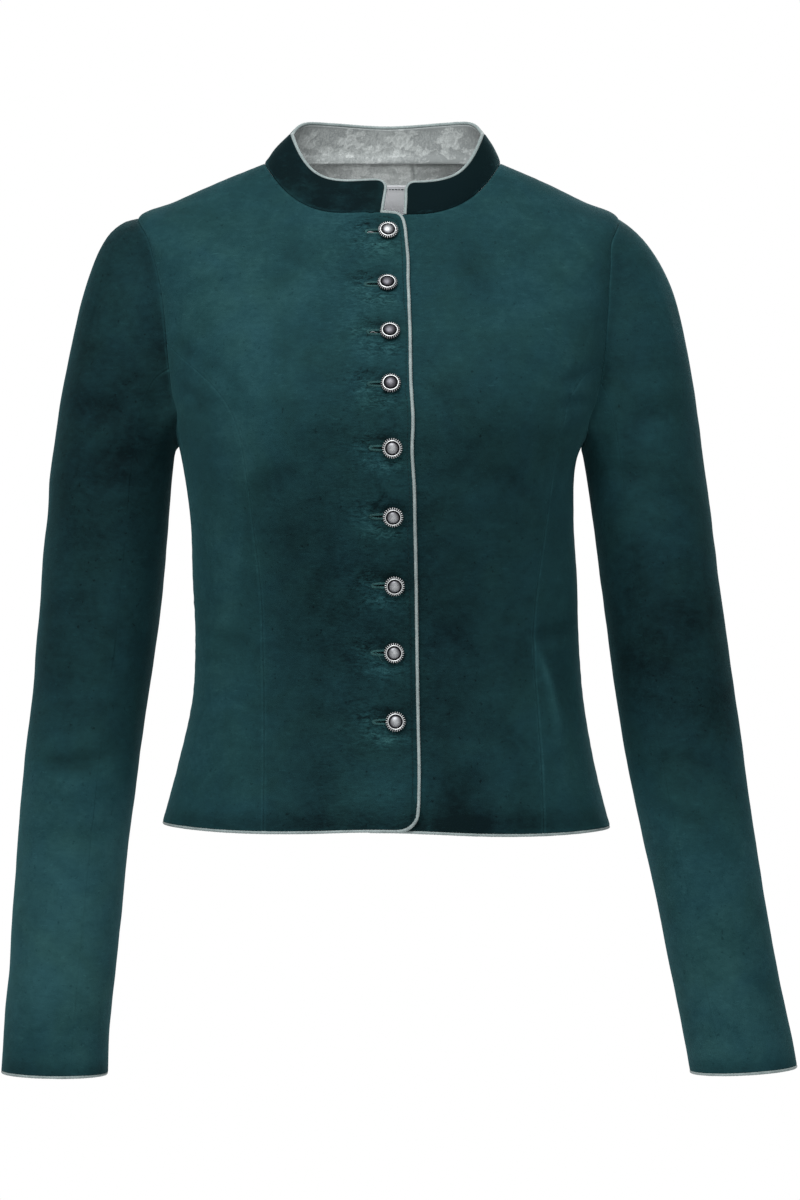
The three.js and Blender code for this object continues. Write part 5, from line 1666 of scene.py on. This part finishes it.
# Painted shade along the facing's seam, and the cloth past the seam a little darker.
facing_tone_and_shade = 0.78 - 0.12 * ease(from_seam, -1, 1) - 0.50 * facing_seam
facing_depth = SHELL + FACING_GAP
facing_curl = (FACING_GAP - SEAM_GAP) * ease(share_grid, 0.55, 1.0)
facing_curl += 0.4 * dip(edge_distances(facing_flat)["last_row"], 1.0, 1.2)
neck_facing, _ = inner_cloth("brocade_neck_facing", facing_spots, facing_depth, LINING,
                             facing_relief, brocade, facing_curl, "last_row", facing_tone_and_shade)

patch_middle = ring_at(float(NECK))["middle_x"] + PATCH_OFFSET
patch_x, patch_z = np.meshgrid(
    patch_middle + (0.5 - graded(PATCH_WIDTH, PATCH_PITCH)) * PATCH_WIDTH,
    lerp(PATCH_BOTTOM, PATCH_TOP, graded(PATCH_TOP - PATCH_BOTTOM, PATCH_PITCH)))
patch_spots = spot_at(patch_x, patch_z, "back")
patch_relief = 0.12 * ripples(patch_x, patch_z, 83, 22)
patch_depth = facing_depth + LINING + SEAM_GAP + 0.25
neck_patch, patch_inner = inner_cloth("bare_neck_patch", patch_spots, patch_depth, PATCH,
                                      patch_relief, patch_cloth)
print("facing and patch points:", len(neck_facing.data.vertices), len(neck_patch.data.vertices))

# %% [markdown]
# ## What repeats: stitches and beads along a path
#
# Hand stitches, machine stitches, buttonhole stitches and the beads on a button's rim are all
# the same idea, a small rounded thing repeated along a line. One Geometry Nodes tree makes
# them: it walks along a path in equal steps, turns each little ellipsoid to the path and to
# the surface, and varies it a little from a fixed seed. A second tree sweeps a cord.
#
# The result is kept as a plain mesh, so nothing live is left.

# %% Trees
SOCKETS = {float: "Float", int: "Int", type(None): "Material"}


def new_tree(name, **inputs):
    """A Geometry Nodes tree with named inputs and their values."""
    tree = bpy.data.node_groups.new(name, "GeometryNodeTree")
    face = tree.interface
    for way in ("INPUT", "OUTPUT"):
        face.new_socket("Geometry", in_out=way, socket_type="NodeSocketGeometry")
    for label, value in inputs.items():
        socket = face.new_socket(label, in_out="INPUT",
                                 socket_type="NodeSocket" + SOCKETS[type(value)])
        if value is not None:
            socket.default_value = value
    return tree, tree.nodes.new("NodeGroupInput").outputs


def named(tree, name, kind):
    return add_node(tree, "GeometryNodeInputNamedAttribute", {"Name": name},
                    data_type=kind).outputs["Attribute"]


def end_tree(tree, geometry, material):
    """Every tree ends the same way: real geometry, smooth, with its material."""
    real = output_of(tree, "GeometryNodeRealizeInstances", {"Geometry": geometry})
    soft = output_of(tree, "GeometryNodeSetShadeSmooth", {"Geometry": real})
    dressed = output_of(tree, "GeometryNodeSetMaterial", {"Geometry": soft, "Material": material})
    add_node(tree, "NodeGroupOutput", {0: dressed})
    return tree


def beads_tree():
    """Ellipsoids along a path. Turn 0 lays them along it, a quarter turn across it."""
    tree, given = new_tree("beads_along", Pitch=0.003, Length=0.002, Width=0.0005, Height=0.0005,
                           Turn=0.0, Lift=0.0, Jitter=0.1, Seed=1, Material=None)
    node, number = partial(output_of, tree), partial(calculate, tree)
    curve = node("GeometryNodeMeshToCurve", {"Mesh": given["Geometry"]})
    walk = add_node(tree, "GeometryNodeCurveToPoints", {"Curve": curve, "Length": given["Pitch"]},
                    mode="LENGTH").outputs
    out = named(tree, "out", "FLOAT_VECTOR")
    raised = node("GeometryNodeSetPosition",
                  {"Geometry": walk["Points"],
                   "Offset": vector_math(tree, "SCALE", out, Scale=given["Lift"])})
    along = node("FunctionNodeAlignRotationToVector", {"Vector": walk["Tangent"]}, axis="X")
    upright = node("FunctionNodeAlignRotationToVector", {"Rotation": along, "Vector": out},
                   axis="Z", pivot_axis="X")
    chance = add_node(tree, "FunctionNodeRandomValue",
                      {2: number("MULTIPLY", given["Jitter"], -1.0), 3: given["Jitter"],
                       "Seed": given["Seed"]}, data_type="FLOAT").outputs[1]
    swing = node("ShaderNodeCombineXYZ", {"Z": number("ADD", given["Turn"], chance)})
    swing = node("FunctionNodeEulerToRotation", {"Euler": swing})
    turned = node("FunctionNodeRotateRotation", {"Rotation": upright, "Rotate By": swing},
                  rotation_space="LOCAL")
    half = [number("MULTIPLY", given[name], 0.5) for name in ("Length", "Width", "Height")]
    size = node("ShaderNodeCombineXYZ", dict(enumerate(half)))
    scale = vector_math(tree, "SCALE", size, Scale=number("ADD", chance, 1.0))
    ball = node("GeometryNodeMeshUVSphere", {"Segments": 8, "Rings": 5, "Radius": 1.0})
    beads = node("GeometryNodeInstanceOnPoints",
                 {"Points": raised, "Instance": ball, "Rotation": turned, "Scale": scale})
    return end_tree(tree, beads, given["Material"])


def marked(tree, geometry, name, value):
    """Stores a number at the points of a curve, for the mesh made from it."""
    return output_of(tree, "GeometryNodeStoreNamedAttribute",
                     {"Geometry": geometry, "Name": name, "Value": value},
                     data_type="FLOAT", domain="POINT")


def cord_tree():
    """A round cord along a path, with a fine diagonal rib and a slight unevenness."""
    tree, given = new_tree("cord_along", Radius=0.0016, Step=0.001, Rib=0.0016, Depth=0.00005,
                           Uneven=0.00012, Seed=1.0, Material=None)
    node, number = partial(output_of, tree), partial(calculate, tree)
    curve = node("GeometryNodeMeshToCurve", {"Mesh": given["Geometry"]})
    fine = node("GeometryNodeResampleCurve", {"Curve": curve, "Length": given["Step"]},
                mode="LENGTH")
    run = add_node(tree, "GeometryNodeSplineParameter").outputs
    circle = node("GeometryNodeCurvePrimitiveCircle",
                  {"Resolution": 12, "Radius": given["Radius"]})
    tube = node("GeometryNodeCurveToMesh",
                {"Curve": marked(tree, fine, "along", run["Length"]),
                 "Profile Curve": marked(tree, circle, "turn", run["Factor"]),
                 "Fill Caps": True})
    phase = number("ADD", named(tree, "turn", "FLOAT"),
                   number("DIVIDE", named(tree, "along", "FLOAT"), given["Rib"]))
    rib = number("SINE", number("MULTIPLY", phase, 2 * math.pi))
    rib = number("MULTIPLY", rib, given["Depth"])
    lumps = add_node(tree, "ShaderNodeTexNoise", {"Scale": 130.0, "W": given["Seed"]},
                     noise_dimensions="4D").outputs["Fac"]
    lump = number("MULTIPLY", number("SUBTRACT", lumps, 0.5), given["Uneven"])
    push = vector_math(tree, "SCALE", node("GeometryNodeInputNormal"),
                       Scale=number("ADD", rib, lump))
    shaped = node("GeometryNodeSetPosition", {"Geometry": tube, "Offset": push})
    return end_tree(tree, shaped, given["Material"])


BEADS, CORD = beads_tree(), cord_tree()
print("trees:", BEADS.name, CORD.name)

# %% Along a path


def joined(parts):
    """One set of path points, normals and edges from several paths."""
    points, normals, edges = [], [], []
    for path_points, path_normals, closed in parts:
        start, count = len(points), len(path_points)
        points.extend(path_points)
        normals.extend(path_normals)
        edges += [(start + i, start + i + 1) for i in range(count - 1)]
        if closed:
            edges.append((start + count - 1, start))
    return np.array(points), np.array(normals), edges


def made_plain(made, modifier):
    """Keeps what a modifier makes as the object's own mesh."""
    evaluated = made.evaluated_get(bpy.context.evaluated_depsgraph_get())
    mesh = bpy.data.meshes.new_from_object(evaluated)
    made.modifiers.remove(modifier)
    made.data = mesh
    return mesh


def along_path(name, tree, parts, **sizes):
    """Runs a tree on some paths, in millimetres, and keeps its result as a plain mesh."""
    points, normals, edges = joined(parts)
    guide = bpy.data.meshes.new(name + "_path")
    guide.from_pydata((points * MM).tolist(), edges, [])
    out = guide.attributes.new("out", "FLOAT_VECTOR", "POINT")
    out.data.foreach_set("vector", unit(normals).ravel())
    made = new_object(name, guide)
    modifier = made.modifiers.new("along", "NODES")
    modifier.node_group = tree
    for item in tree.interface.items_tree:
        if item.item_type == "SOCKET" and item.in_out == "INPUT" and item.name in sizes:
            modifier[item.identifier] = sizes[item.name]
    mesh = made_plain(made, modifier)
    mesh.name = name
    bpy.data.meshes.remove(guide)
    print(f"{name}: {len(mesh.polygons)} faces")
    return made

# %% [markdown]
# ## Buttonholes
#
# The button's shank stands in a slit, and the slit is worked all round in buttonhole stitch,
# each stitch at right angles to the edge. One exact Boolean cuts all nine slits into the
# right front. The stitches follow an oval that lies on the cloth as it really is, with its
# puckers.

# %% Buttonholes
SLIT_REACH, SLIT_BEYOND = 15.6, 1.4          # past the button's middle, each way
SLIT_HALF = 0.45               # half the slit's width
SLIT_TOP, SLIT_BOTTOM = 3.0, -5.0            # the cutter's depths, from the cloth's face
STITCH_RING = 1.5              # from the slit's middle line to the middle of the stitches
STITCH_END = 0.7               # how far the stitches stand past the slit's ends


def on_right_front(x, z, above=0.0):
    """Points on the right front's cloth, and the normals of the form there."""
    spots = spot_at(x, z, "front")
    points, normals, height = surface_at(spots, "right")
    return points + normals * (height + above)[..., None], normals


def slit_box(x, z):
    """The eight corners of a thin box that goes through the cloth along one buttonhole."""
    return [on_right_front(np.array([end]), np.array([z + half]), depth)[0][0]
            for depth in (SLIT_TOP, SLIT_BOTTOM)
            for end in (x - SLIT_REACH, x + SLIT_BEYOND)
            for half in (SLIT_HALF, -SLIT_HALF)]


cutter_points, cutter_faces = [], []
for x, z in BUTTON_PLACES:
    k = len(cutter_points)
    cutter_points += slit_box(x, z)
    cutter_faces += [(k, k + 1, k + 3, k + 2), (k + 4, k + 6, k + 7, k + 5),
                     (k, k + 2, k + 6, k + 4), (k + 1, k + 5, k + 7, k + 3),
                     (k, k + 4, k + 5, k + 1), (k + 2, k + 3, k + 7, k + 6)]
cutter = mesh_object("slits", cutter_points, cutter_faces, [velvet, lining])
shaper = bmesh.new()
shaper.from_mesh(cutter.data)
bmesh.ops.recalc_face_normals(shaper, faces=shaper.faces)
shaper.to_mesh(cutter.data)
shaper.free()
# The slits' cut walls take this tone and are painted dark, as the shade inside each slit.
put_number(cutter.data, "tone_and_shading", np.full(len(cutter.data.vertices), 0.1))
cut = front_right.modifiers.new("cut", "BOOLEAN")
cut.operation, cut.solver, cut.object = "DIFFERENCE", "EXACT", cutter
before = len(front_right.data.polygons)
opened = made_plain(front_right, cut)
bpy.data.objects.remove(cutter)
print("faces of the right front before and after:", before, len(opened.polygons))


def buttonhole_path(x, z):
    """A slim closed oval on the cloth round one slit."""
    middle = x - (SLIT_REACH - SLIT_BEYOND) / 2
    half = (SLIT_REACH + SLIT_BEYOND) / 2 + STITCH_END
    turn = np.linspace(0, 2 * math.pi, 81)[:-1]
    across = np.sign(np.sin(turn)) * np.abs(np.sin(turn)) ** 0.6
    points, normals = on_right_front(middle + half * np.cos(turn), z + STITCH_RING * across)
    return points, normals, True


holes = [buttonhole_path(x, z) for x, z in BUTTON_PLACES]
hole_stitches = along_path("buttonhole_stitches", BEADS, holes, Pitch=0.00052, Length=0.0021,
                           Width=0.00062, Height=0.0009, Turn=math.pi / 2, Lift=0.00018,
                           Jitter=0.14, Seed=5, Material=teal_thread)

# %% [markdown]
# A few threads stand loose where the slits were cut open: a long one at the eighth, and short
# grey ends of the interlining at others. They are the sort of small fault that hand finishing
# leaves.

# %% Loose threads


def loose_thread(x, z, reach, rise, curl):
    """A path that starts in a slit and wanders over the cloth."""
    t = np.linspace(0, 1, 24)
    across = x + reach * t
    up = z + rise * t + curl * np.sin(t * math.pi * 1.6)
    points, normals = on_right_front(across, up)
    return points + normals * (0.5 + 0.5 * np.sin(t * 5.0))[:, None], normals, False


def thread_ends(name, radius, seed, material, *rows):
    """Loose threads. Each row holds a button's number, the start from that button across and
    up, how far the thread goes across and up, and how it curls."""
    paths = []
    for number, across, up, *way in rows:
        x, z = BUTTON_PLACES[number - 1]
        paths.append(loose_thread(x + across, z + up, *way))
    return along_path(name, CORD, paths, Radius=radius, Step=0.0005, Rib=0.0008, Depth=0.00003,
                      Seed=seed, Material=material)


teal_ends = thread_ends("loose_threads", 0.00022, 2.0, teal_thread,
                        (8, -13.5, 0.3, 5.0, -5.6, 1.0), (6, -15.0, 0.0, -3.0, 1.2, 0.6))
grey_ends = thread_ends("grey_threads", 0.00026, 3.0, grey_thread,
                        (1, -15.2, -1.2, 7.0, 0.5, 0.5), (1, -14.4, -0.4, 6.0, -0.9, -0.4),
                        (3, -14.0, -0.6, 5.0, 0.4, 0.4))

# %% [markdown]
# ## Piping
#
# Piping is a thin cord wrapped in satin and caught in the seam, so it runs right along the
# edge. One cord goes round the collar, one follows the front edge down and round the hem
# corner, and a finer one goes round the hem and the cuffs. The paths are the edges of the
# pieces above, moved out by a little less than the cord's radius.

# %% Piping
SATIN_SINK = 0.5               # how far a cord is pressed into its edge
HEM_SINK = 0.6                 # and how far the hem covers its finer one
HEM_INSIDE = 0.2               # how far that one stands inside the cloth's middle


def beside(points, normals, distance, depth):
    """A line moved sideways in the surface, and into the cloth."""
    tangents = unit(np.gradient(points, axis=0))
    outward = unit(np.cross(tangents, normals))
    return points + outward * distance - normals * depth


def piping(name, line, normals, radius, closed, seed):
    return along_path(name, CORD, [(line, normals, closed)], Radius=radius * MM,
                      Step=0.0012, Rib=0.0021, Depth=0.00008, Uneven=0.0004, Seed=seed,
                      Material=satin)


def edge_piping(name, line, normals, depth, seed):
    """The cord of the collar and the front: beside the edge, at a depth in the cloth."""
    line = beside(line, normals, -(EDGE_CORD - SATIN_SINK), depth)
    return piping(name, line, normals, EDGE_CORD, False, seed)


def lower_piping(name, line, normals, closed, seed):
    """The finer cord of the hem and the cuffs: below the edge, inside the cloth's face."""
    line = line - normals * (SHELL / 2 + HEM_INSIDE) - np.array([0, 0, HEM_CORD - HEM_SINK])
    return piping(name, line, normals, HEM_CORD, closed, seed)


EVEN_STEP = 1.0


def evened(points, normals, softness=9):
    """A line with equal steps and without sharp corners."""
    run = run_of(points)
    even = np.linspace(0, run[-1], max(2, round(run[-1] / EVEN_STEP)) + 1)
    both = resampled(np.concatenate([points, normals], axis=1), run, even)
    blur = np.hanning(softness + 2)[1:-1]
    blur /= blur.sum()
    reach = softness // 2
    longer = np.pad(both, ((reach, reach), (0, 0)), mode="reflect", reflect_type="odd")
    both = np.stack([np.convolve(column, blur, mode="valid") for column in longer.T], axis=-1)
    return both[:, :3], unit(both[:, 3:])


def relief_on(flat, spots, side):
    """Moves flat points of the body by the relief that their piece has there."""
    _, normals, height = surface_at(spots, side)
    return flat + normals * height[..., None], normals


PIPED_CORNER = 15.5            # how far the front's cord runs on along the hem
SAME_POINT = 0.05              # two panels' corners nearer than that are one point
CUFF_POINTS, CUFF_STEP = 240, 0.05
straight_rows = np.flatnonzero(below_neck)[::-1]
hem_x = front_right_flat[0, :, 0]
corner_columns = np.flatnonzero(hem_x > FRONT_EDGE["x"][0] - PIPED_CORNER)[::-1][1:]
edge_flat, edge_spots = (np.concatenate([grid[straight_rows, -1], grid[0, corner_columns]])
                         for grid in (front_right_flat, right_spots))
line, normals = evened(*relief_on(edge_flat, edge_spots, "right"))
front_piping = edge_piping("satin_front_piping", line, normals, SHELL / 2, 1.0)

END_POINTS, TOP_POINTS = 30, 400             # up each end of the collar, and along its top
rise = np.linspace(0, 1, END_POINTS + 1)
last = float(COLLAR_STEPS[-1])
column, share = rounded_corner(
    np.concatenate([np.zeros(END_POINTS), np.linspace(0, last, TOP_POINTS),
                    np.full(END_POINTS, last)]),
    np.concatenate([rise[:-1], np.ones(TOP_POINTS), rise[:-1][::-1]]))
normals = collar_normal(column, share)
lift = collar_lift(column, collar_form(column, 0 * share))
line, normals = evened(collar_form(column, share) + normals * lift[:, None], normals, softness=5)
collar_piping = edge_piping("satin_collar_piping", line, normals,
                            (SHELL + SEAM_GAP + LINING) / 2, 4.0)


def hem_part(flat, spots, side=None, skip=0.0):
    """The hem of one panel, from the wearer's left to right, without its first millimetres."""
    line, normals = relief_on(flat[0], spots[0], side)
    line, normals = line[::-1], normals[::-1]
    kept = run_of(line) >= skip
    return line[kept], normals[kept]


hem_parts = [
    hem_part(front_right_flat, right_spots, "right", PIPED_CORNER),
    *(hem_part(*patterns[node]) for node in (
        "side_front_right", "side_back_right", "back_right",
        "back_left", "side_back_left", "side_front_left")),
    hem_part(front_left_flat, left_spots, "left")]
line, normals = (np.concatenate(parts) for parts in zip(*hem_parts))
apart = np.concatenate([[True], np.linalg.norm(np.diff(line, axis=0), axis=1) > SAME_POINT])
hem_piping = lower_piping("satin_hem_piping", *evened(line[apart], normals[apart]), False, 7.0)

cuff_pipings = {}
for side in ("right", "left"):
    points, down, _ = sleeve_form(side)
    columns = np.linspace(0, LOOP_STEPS, CUFF_POINTS + 1)[:-1] + LOOP_STEPS / 2
    last = np.array([len(down) - 1.0])
    normals = sleeve_normals(side, points, columns, last, last, CUFF_STEP)[0]
    cuff_pipings[side] = lower_piping(f"satin_cuff_piping_{side}", points(columns, last)[0],
                                      normals, True, 9.0 if side == "left" else 11.0)

# %% [markdown]
# ## Stitches that show
#
# A line of small stitches runs a few millimetres inside the front edge, and another goes
# round the patch. They are dark thread, so on the velvet they show mostly as a dotted groove.

# %% Stitches
rows = straight_rows[3:]       # from just below the throat corner
from_edge = edge_distances(front_right_flat)["last_column"][rows]
columns = np.argmin(np.abs(from_edge - EDGE_SEAM_INSET), axis=1)
line, normals = relief_on(front_right_flat[rows, columns], right_spots[rows, columns], "right")
line, normals = evened(line, normals, softness=15)
edge_stitches = along_path("edge_stitches", BEADS, [(line, normals, False)], Pitch=0.0031,
                           Length=0.0026, Width=0.0007, Height=0.0006, Lift=-0.00012,
                           Jitter=0.06, Seed=8, Material=dark_thread)

PATCH_INSET = 2.2              # the patch's stitches, in from its edges


def nearest(values, wanted):
    return int(np.argmin(np.abs(values - wanted)))


low, high = (nearest(patch_z[:, 0], z) for z in (PATCH_BOTTOM + PATCH_INSET,
                                                 PATCH_TOP - PATCH_INSET))
a, b = sorted(nearest(patch_x[0], x) for x in (patch_x.min() + PATCH_INSET,
                                               patch_x.max() - PATCH_INSET))
index = np.arange(patch_x.size).reshape(patch_x.shape)
outline = np.concatenate([index[low, a:b], index[low:high, b],
                          index[high, b:a:-1], index[high:low:-1, a]])
patch_line = patch_inner.reshape(-1, 3)[outline]
patch_normals = -form_normal(patch_spots).reshape(-1, 3)[outline]
patch_stitches = along_path("patch_stitches", BEADS, [(patch_line, patch_normals, True)],
                            Pitch=0.0024, Length=0.0019, Width=0.0006, Height=0.0005,
                            Lift=0.0001, Jitter=0.08, Seed=9, Material=dark_thread)

# %% [markdown]
# ## Buttons
#
# The buttons are the kind made for traditional jackets: a cast silver dome in a dark recess, a
# smooth ring round it and a beaded rim, on a shank. Each is turned from one profile. The
# shank goes through the slit to the left front, which carries it. Places, axis, breadth and
# height are the frame's.

# %% Buttons
BUTTON_TURNS = 64              # points of a circle
DOME_STEPS = 12
BEADS_ROUND = 27
BEAD_RING, BEAD_HEIGHT = 6.6, 2.4
BEAD_LEAN = 40                 # degrees that the beaded flank slopes back
# These buttons' domes lean up, and are painted darker as a painted dark reflection.
DARK_REFLECTION_BUTTONS = (2, 3, 4)
DARK_REFLECTION, OTHER_DOME_DARKENING = 0.36, 0.08   # how much darker their domes are painted, as a painted dark reflection, and how much darker the other domes are
DOME_RECESS, BEAD_RECESS = 0.18, 0.1
BUTTON_RECESS = table(
    "radius height recess",
    (1.4, 0.4, 0.8), (4.4, 0.6, 0.9), (6.6, 1.0, 0.95), (7.05, 1.4, 1.0), (7.1, 1.65, 1.0),
    (6.85, 1.95, 1.05), (6.35, 2.45, 1.05), (6.0, 2.85, 0.9), (5.9, 3.1, 0.4), (5.75, 3.25, 0.05),
    (5.5, 3.32, 0.0), (5.25, 3.25, 0.05), (5.1, 3.0, 0.6), (4.95, 2.7, 1.05),
    (4.7, 2.5, 1.15), (4.4, 2.6, 1.1), (4.28, 2.9, 0.95))
DOME_RADIUS, DOME_FOOT, DOME_RISE = 4.2, 3.05, 1.75


def button_profile(shank):
    """Radius, height and recess from the foot of the shank to the top of the dome."""
    rows = [(0.02, -shank, 0.8), (1.4, -shank, 0.8)]
    rows += list(zip(*BUTTON_RECESS.values()))
    for i in range(1, DOME_STEPS):
        turn = i / DOME_STEPS * math.pi / 2
        rows.append((DOME_RADIUS * math.cos(turn), DOME_FOOT + DOME_RISE * math.sin(turn),
                     0.45 * (1 - i / DOME_STEPS) ** 2 + DOME_RECESS))
    rows.append((0.02, DOME_FOOT + DOME_RISE, DOME_RECESS))
    return np.array(rows)


def button_place(x, z):
    """Where a button stands, how deep its shank goes, and its three axes: square to the cloth."""
    spots = spot_at(np.array([x]), np.array([z]), "front")
    points, normals, above = surface_at(spots, "right")
    _, _, below = surface_at(spots, "left")
    normal = Vector(normals[0])
    across = Vector((1, 0, 0)) - normal * normal.x
    across.normalize()
    upward = normal.cross(across)
    base = Vector(points[0]) + normal * float(above[0] + SEAM_GAP)
    return np.array(base), float(above[0] - below[0]), np.array([across, upward, normal])


def level_circle(radius, height):
    """Points round a button's axis."""
    turn = np.arange(BUTTON_TURNS) / BUTTON_TURNS * 2 * math.pi
    return np.stack([np.cos(turn) * radius, np.sin(turn) * radius,
                     np.full(BUTTON_TURNS, height)], axis=-1)


def button_object(number, x, z):
    """One button, turned from its profile, with its beads."""
    base, reach, axes = button_place(x, z)
    profile = button_profile(reach - SEAM_GAP)
    verts = np.concatenate([level_circle(r, h) for r, h, _ in profile]) @ axes + base
    n = BUTTON_TURNS
    faces = [(r * n + c, r * n + (c + 1) % n, (r + 1) * n + (c + 1) % n, (r + 1) * n + c)
             for r in range(len(profile) - 1) for c in range(n)]
    faces += [tuple(range(n))[::-1], tuple((len(profile) - 1) * n + c for c in range(n))]
    turned = mesh_object(f"silver_button_{number}", verts, faces, [silver])
    dome_darkening = DARK_REFLECTION if number in DARK_REFLECTION_BUTTONS else OTHER_DOME_DARKENING
    dome = (profile[:, 1] > DOME_FOOT + 0.1) & (profile[:, 0] < DOME_RADIUS)
    put_number(turned.data, "recess", np.repeat(profile[:, 2] + np.where(dome, dome_darkening, 0), n))
    lean = math.radians(BEAD_LEAN)
    rim = level_circle(BEAD_RING, BEAD_HEIGHT) @ axes + base
    outward = level_circle(math.sin(lean), math.cos(lean)) @ axes
    pitch = 2 * math.pi * BEAD_RING * MM / BEADS_ROUND
    beads = along_path(f"beads_{number}", BEADS, [(rim, outward, True)], Pitch=pitch,
                       Length=0.0021, Width=0.0009, Height=0.0013, Turn=math.pi / 2,
                       Lift=0.00012, Jitter=0.05, Seed=20 + number, Material=silver)
    # The beads get half their dome's darkening, painted dark reflection included.
    recess = BEAD_RECESS + dome_darkening / 2
    put_number(beads.data, "recess", np.full(len(beads.data.vertices), recess))
    whole = bmesh.new()
    whole.from_mesh(turned.data)
    whole.from_mesh(beads.data)
    whole.to_mesh(turned.data)
    whole.free()
    bpy.data.objects.remove(beads)
    return turned


buttons = [button_object(i + 1, *place) for i, place in enumerate(BUTTON_PLACES)]
print("triangles of one button:", sum(len(f.vertices) - 2 for f in buttons[0].data.polygons))

# %% [markdown]
# ## Who is who in the frame
#
# Every finished piece now rides on the one body and stands for its CAD node, which is hidden.
# That size is measured on the smooth pattern under the creases, without seam allowances.

# %% Tell the frame
place_of = {
    "front_right": (front_right, front_right_flat, ["back_right"],
                    [edge_stitches, hole_stitches, teal_ends, grey_ends]),
    "front_left": (front_left, front_left_flat, ["back_left"], []),
    "collar_outer": (collar_outer, collar_flat, ["front_right", "back_right"], []),
    "collar_lining": (collar_lining, collar_lining_flat, ["collar_outer"], []),
    "neck_facing": (neck_facing, facing_flat, ["collar_lining"], []),
    "neck_patch": (neck_patch, form_point(patch_spots), ["neck_facing"], [patch_stitches]),
}
for side in ("right", "left"):
    place_of["back_" + side] = (*backs[side], ["front_" + side], [])
    for face in ("front", "back"):
        place_of[f"side_{face}_{side}"] = (*side_pieces[face, side], [f"{face}_{side}"], [])
    for part in ("upper", "under"):
        place_of[f"sleeve_{part}_{side}"] = (*sleeves[part, side], [f"front_{side}"], [])

for node, (made, flat, hangs_from, extras) in place_of.items():
    finish_cloth(made, node)
for extra in (edge_stitches, hole_stitches, teal_ends, grey_ends, patch_stitches):
    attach(extra, "root")

cords = {"front_piping": front_piping, "collar_piping": collar_piping,
         "hem_piping": hem_piping, "cuff_piping_right": cuff_pipings["right"],
         "cuff_piping_left": cuff_pipings["left"]}
for node, made in cords.items():
    stand_for(made, node)
for i, made in enumerate(buttons):
    stand_for(made, f"button_{i + 1}")

shown = [o for o in bpy.data.objects if o.type == "MESH" and "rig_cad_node" not in o]
print("pieces:", len(shown), "| triangles:",
      sum(len(f.vertices) - 2 for o in shown for f in o.data.polygons))

# %% Finish
low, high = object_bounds()
print("model box, m:", [round(v, 4) for v in (*low, *high)])
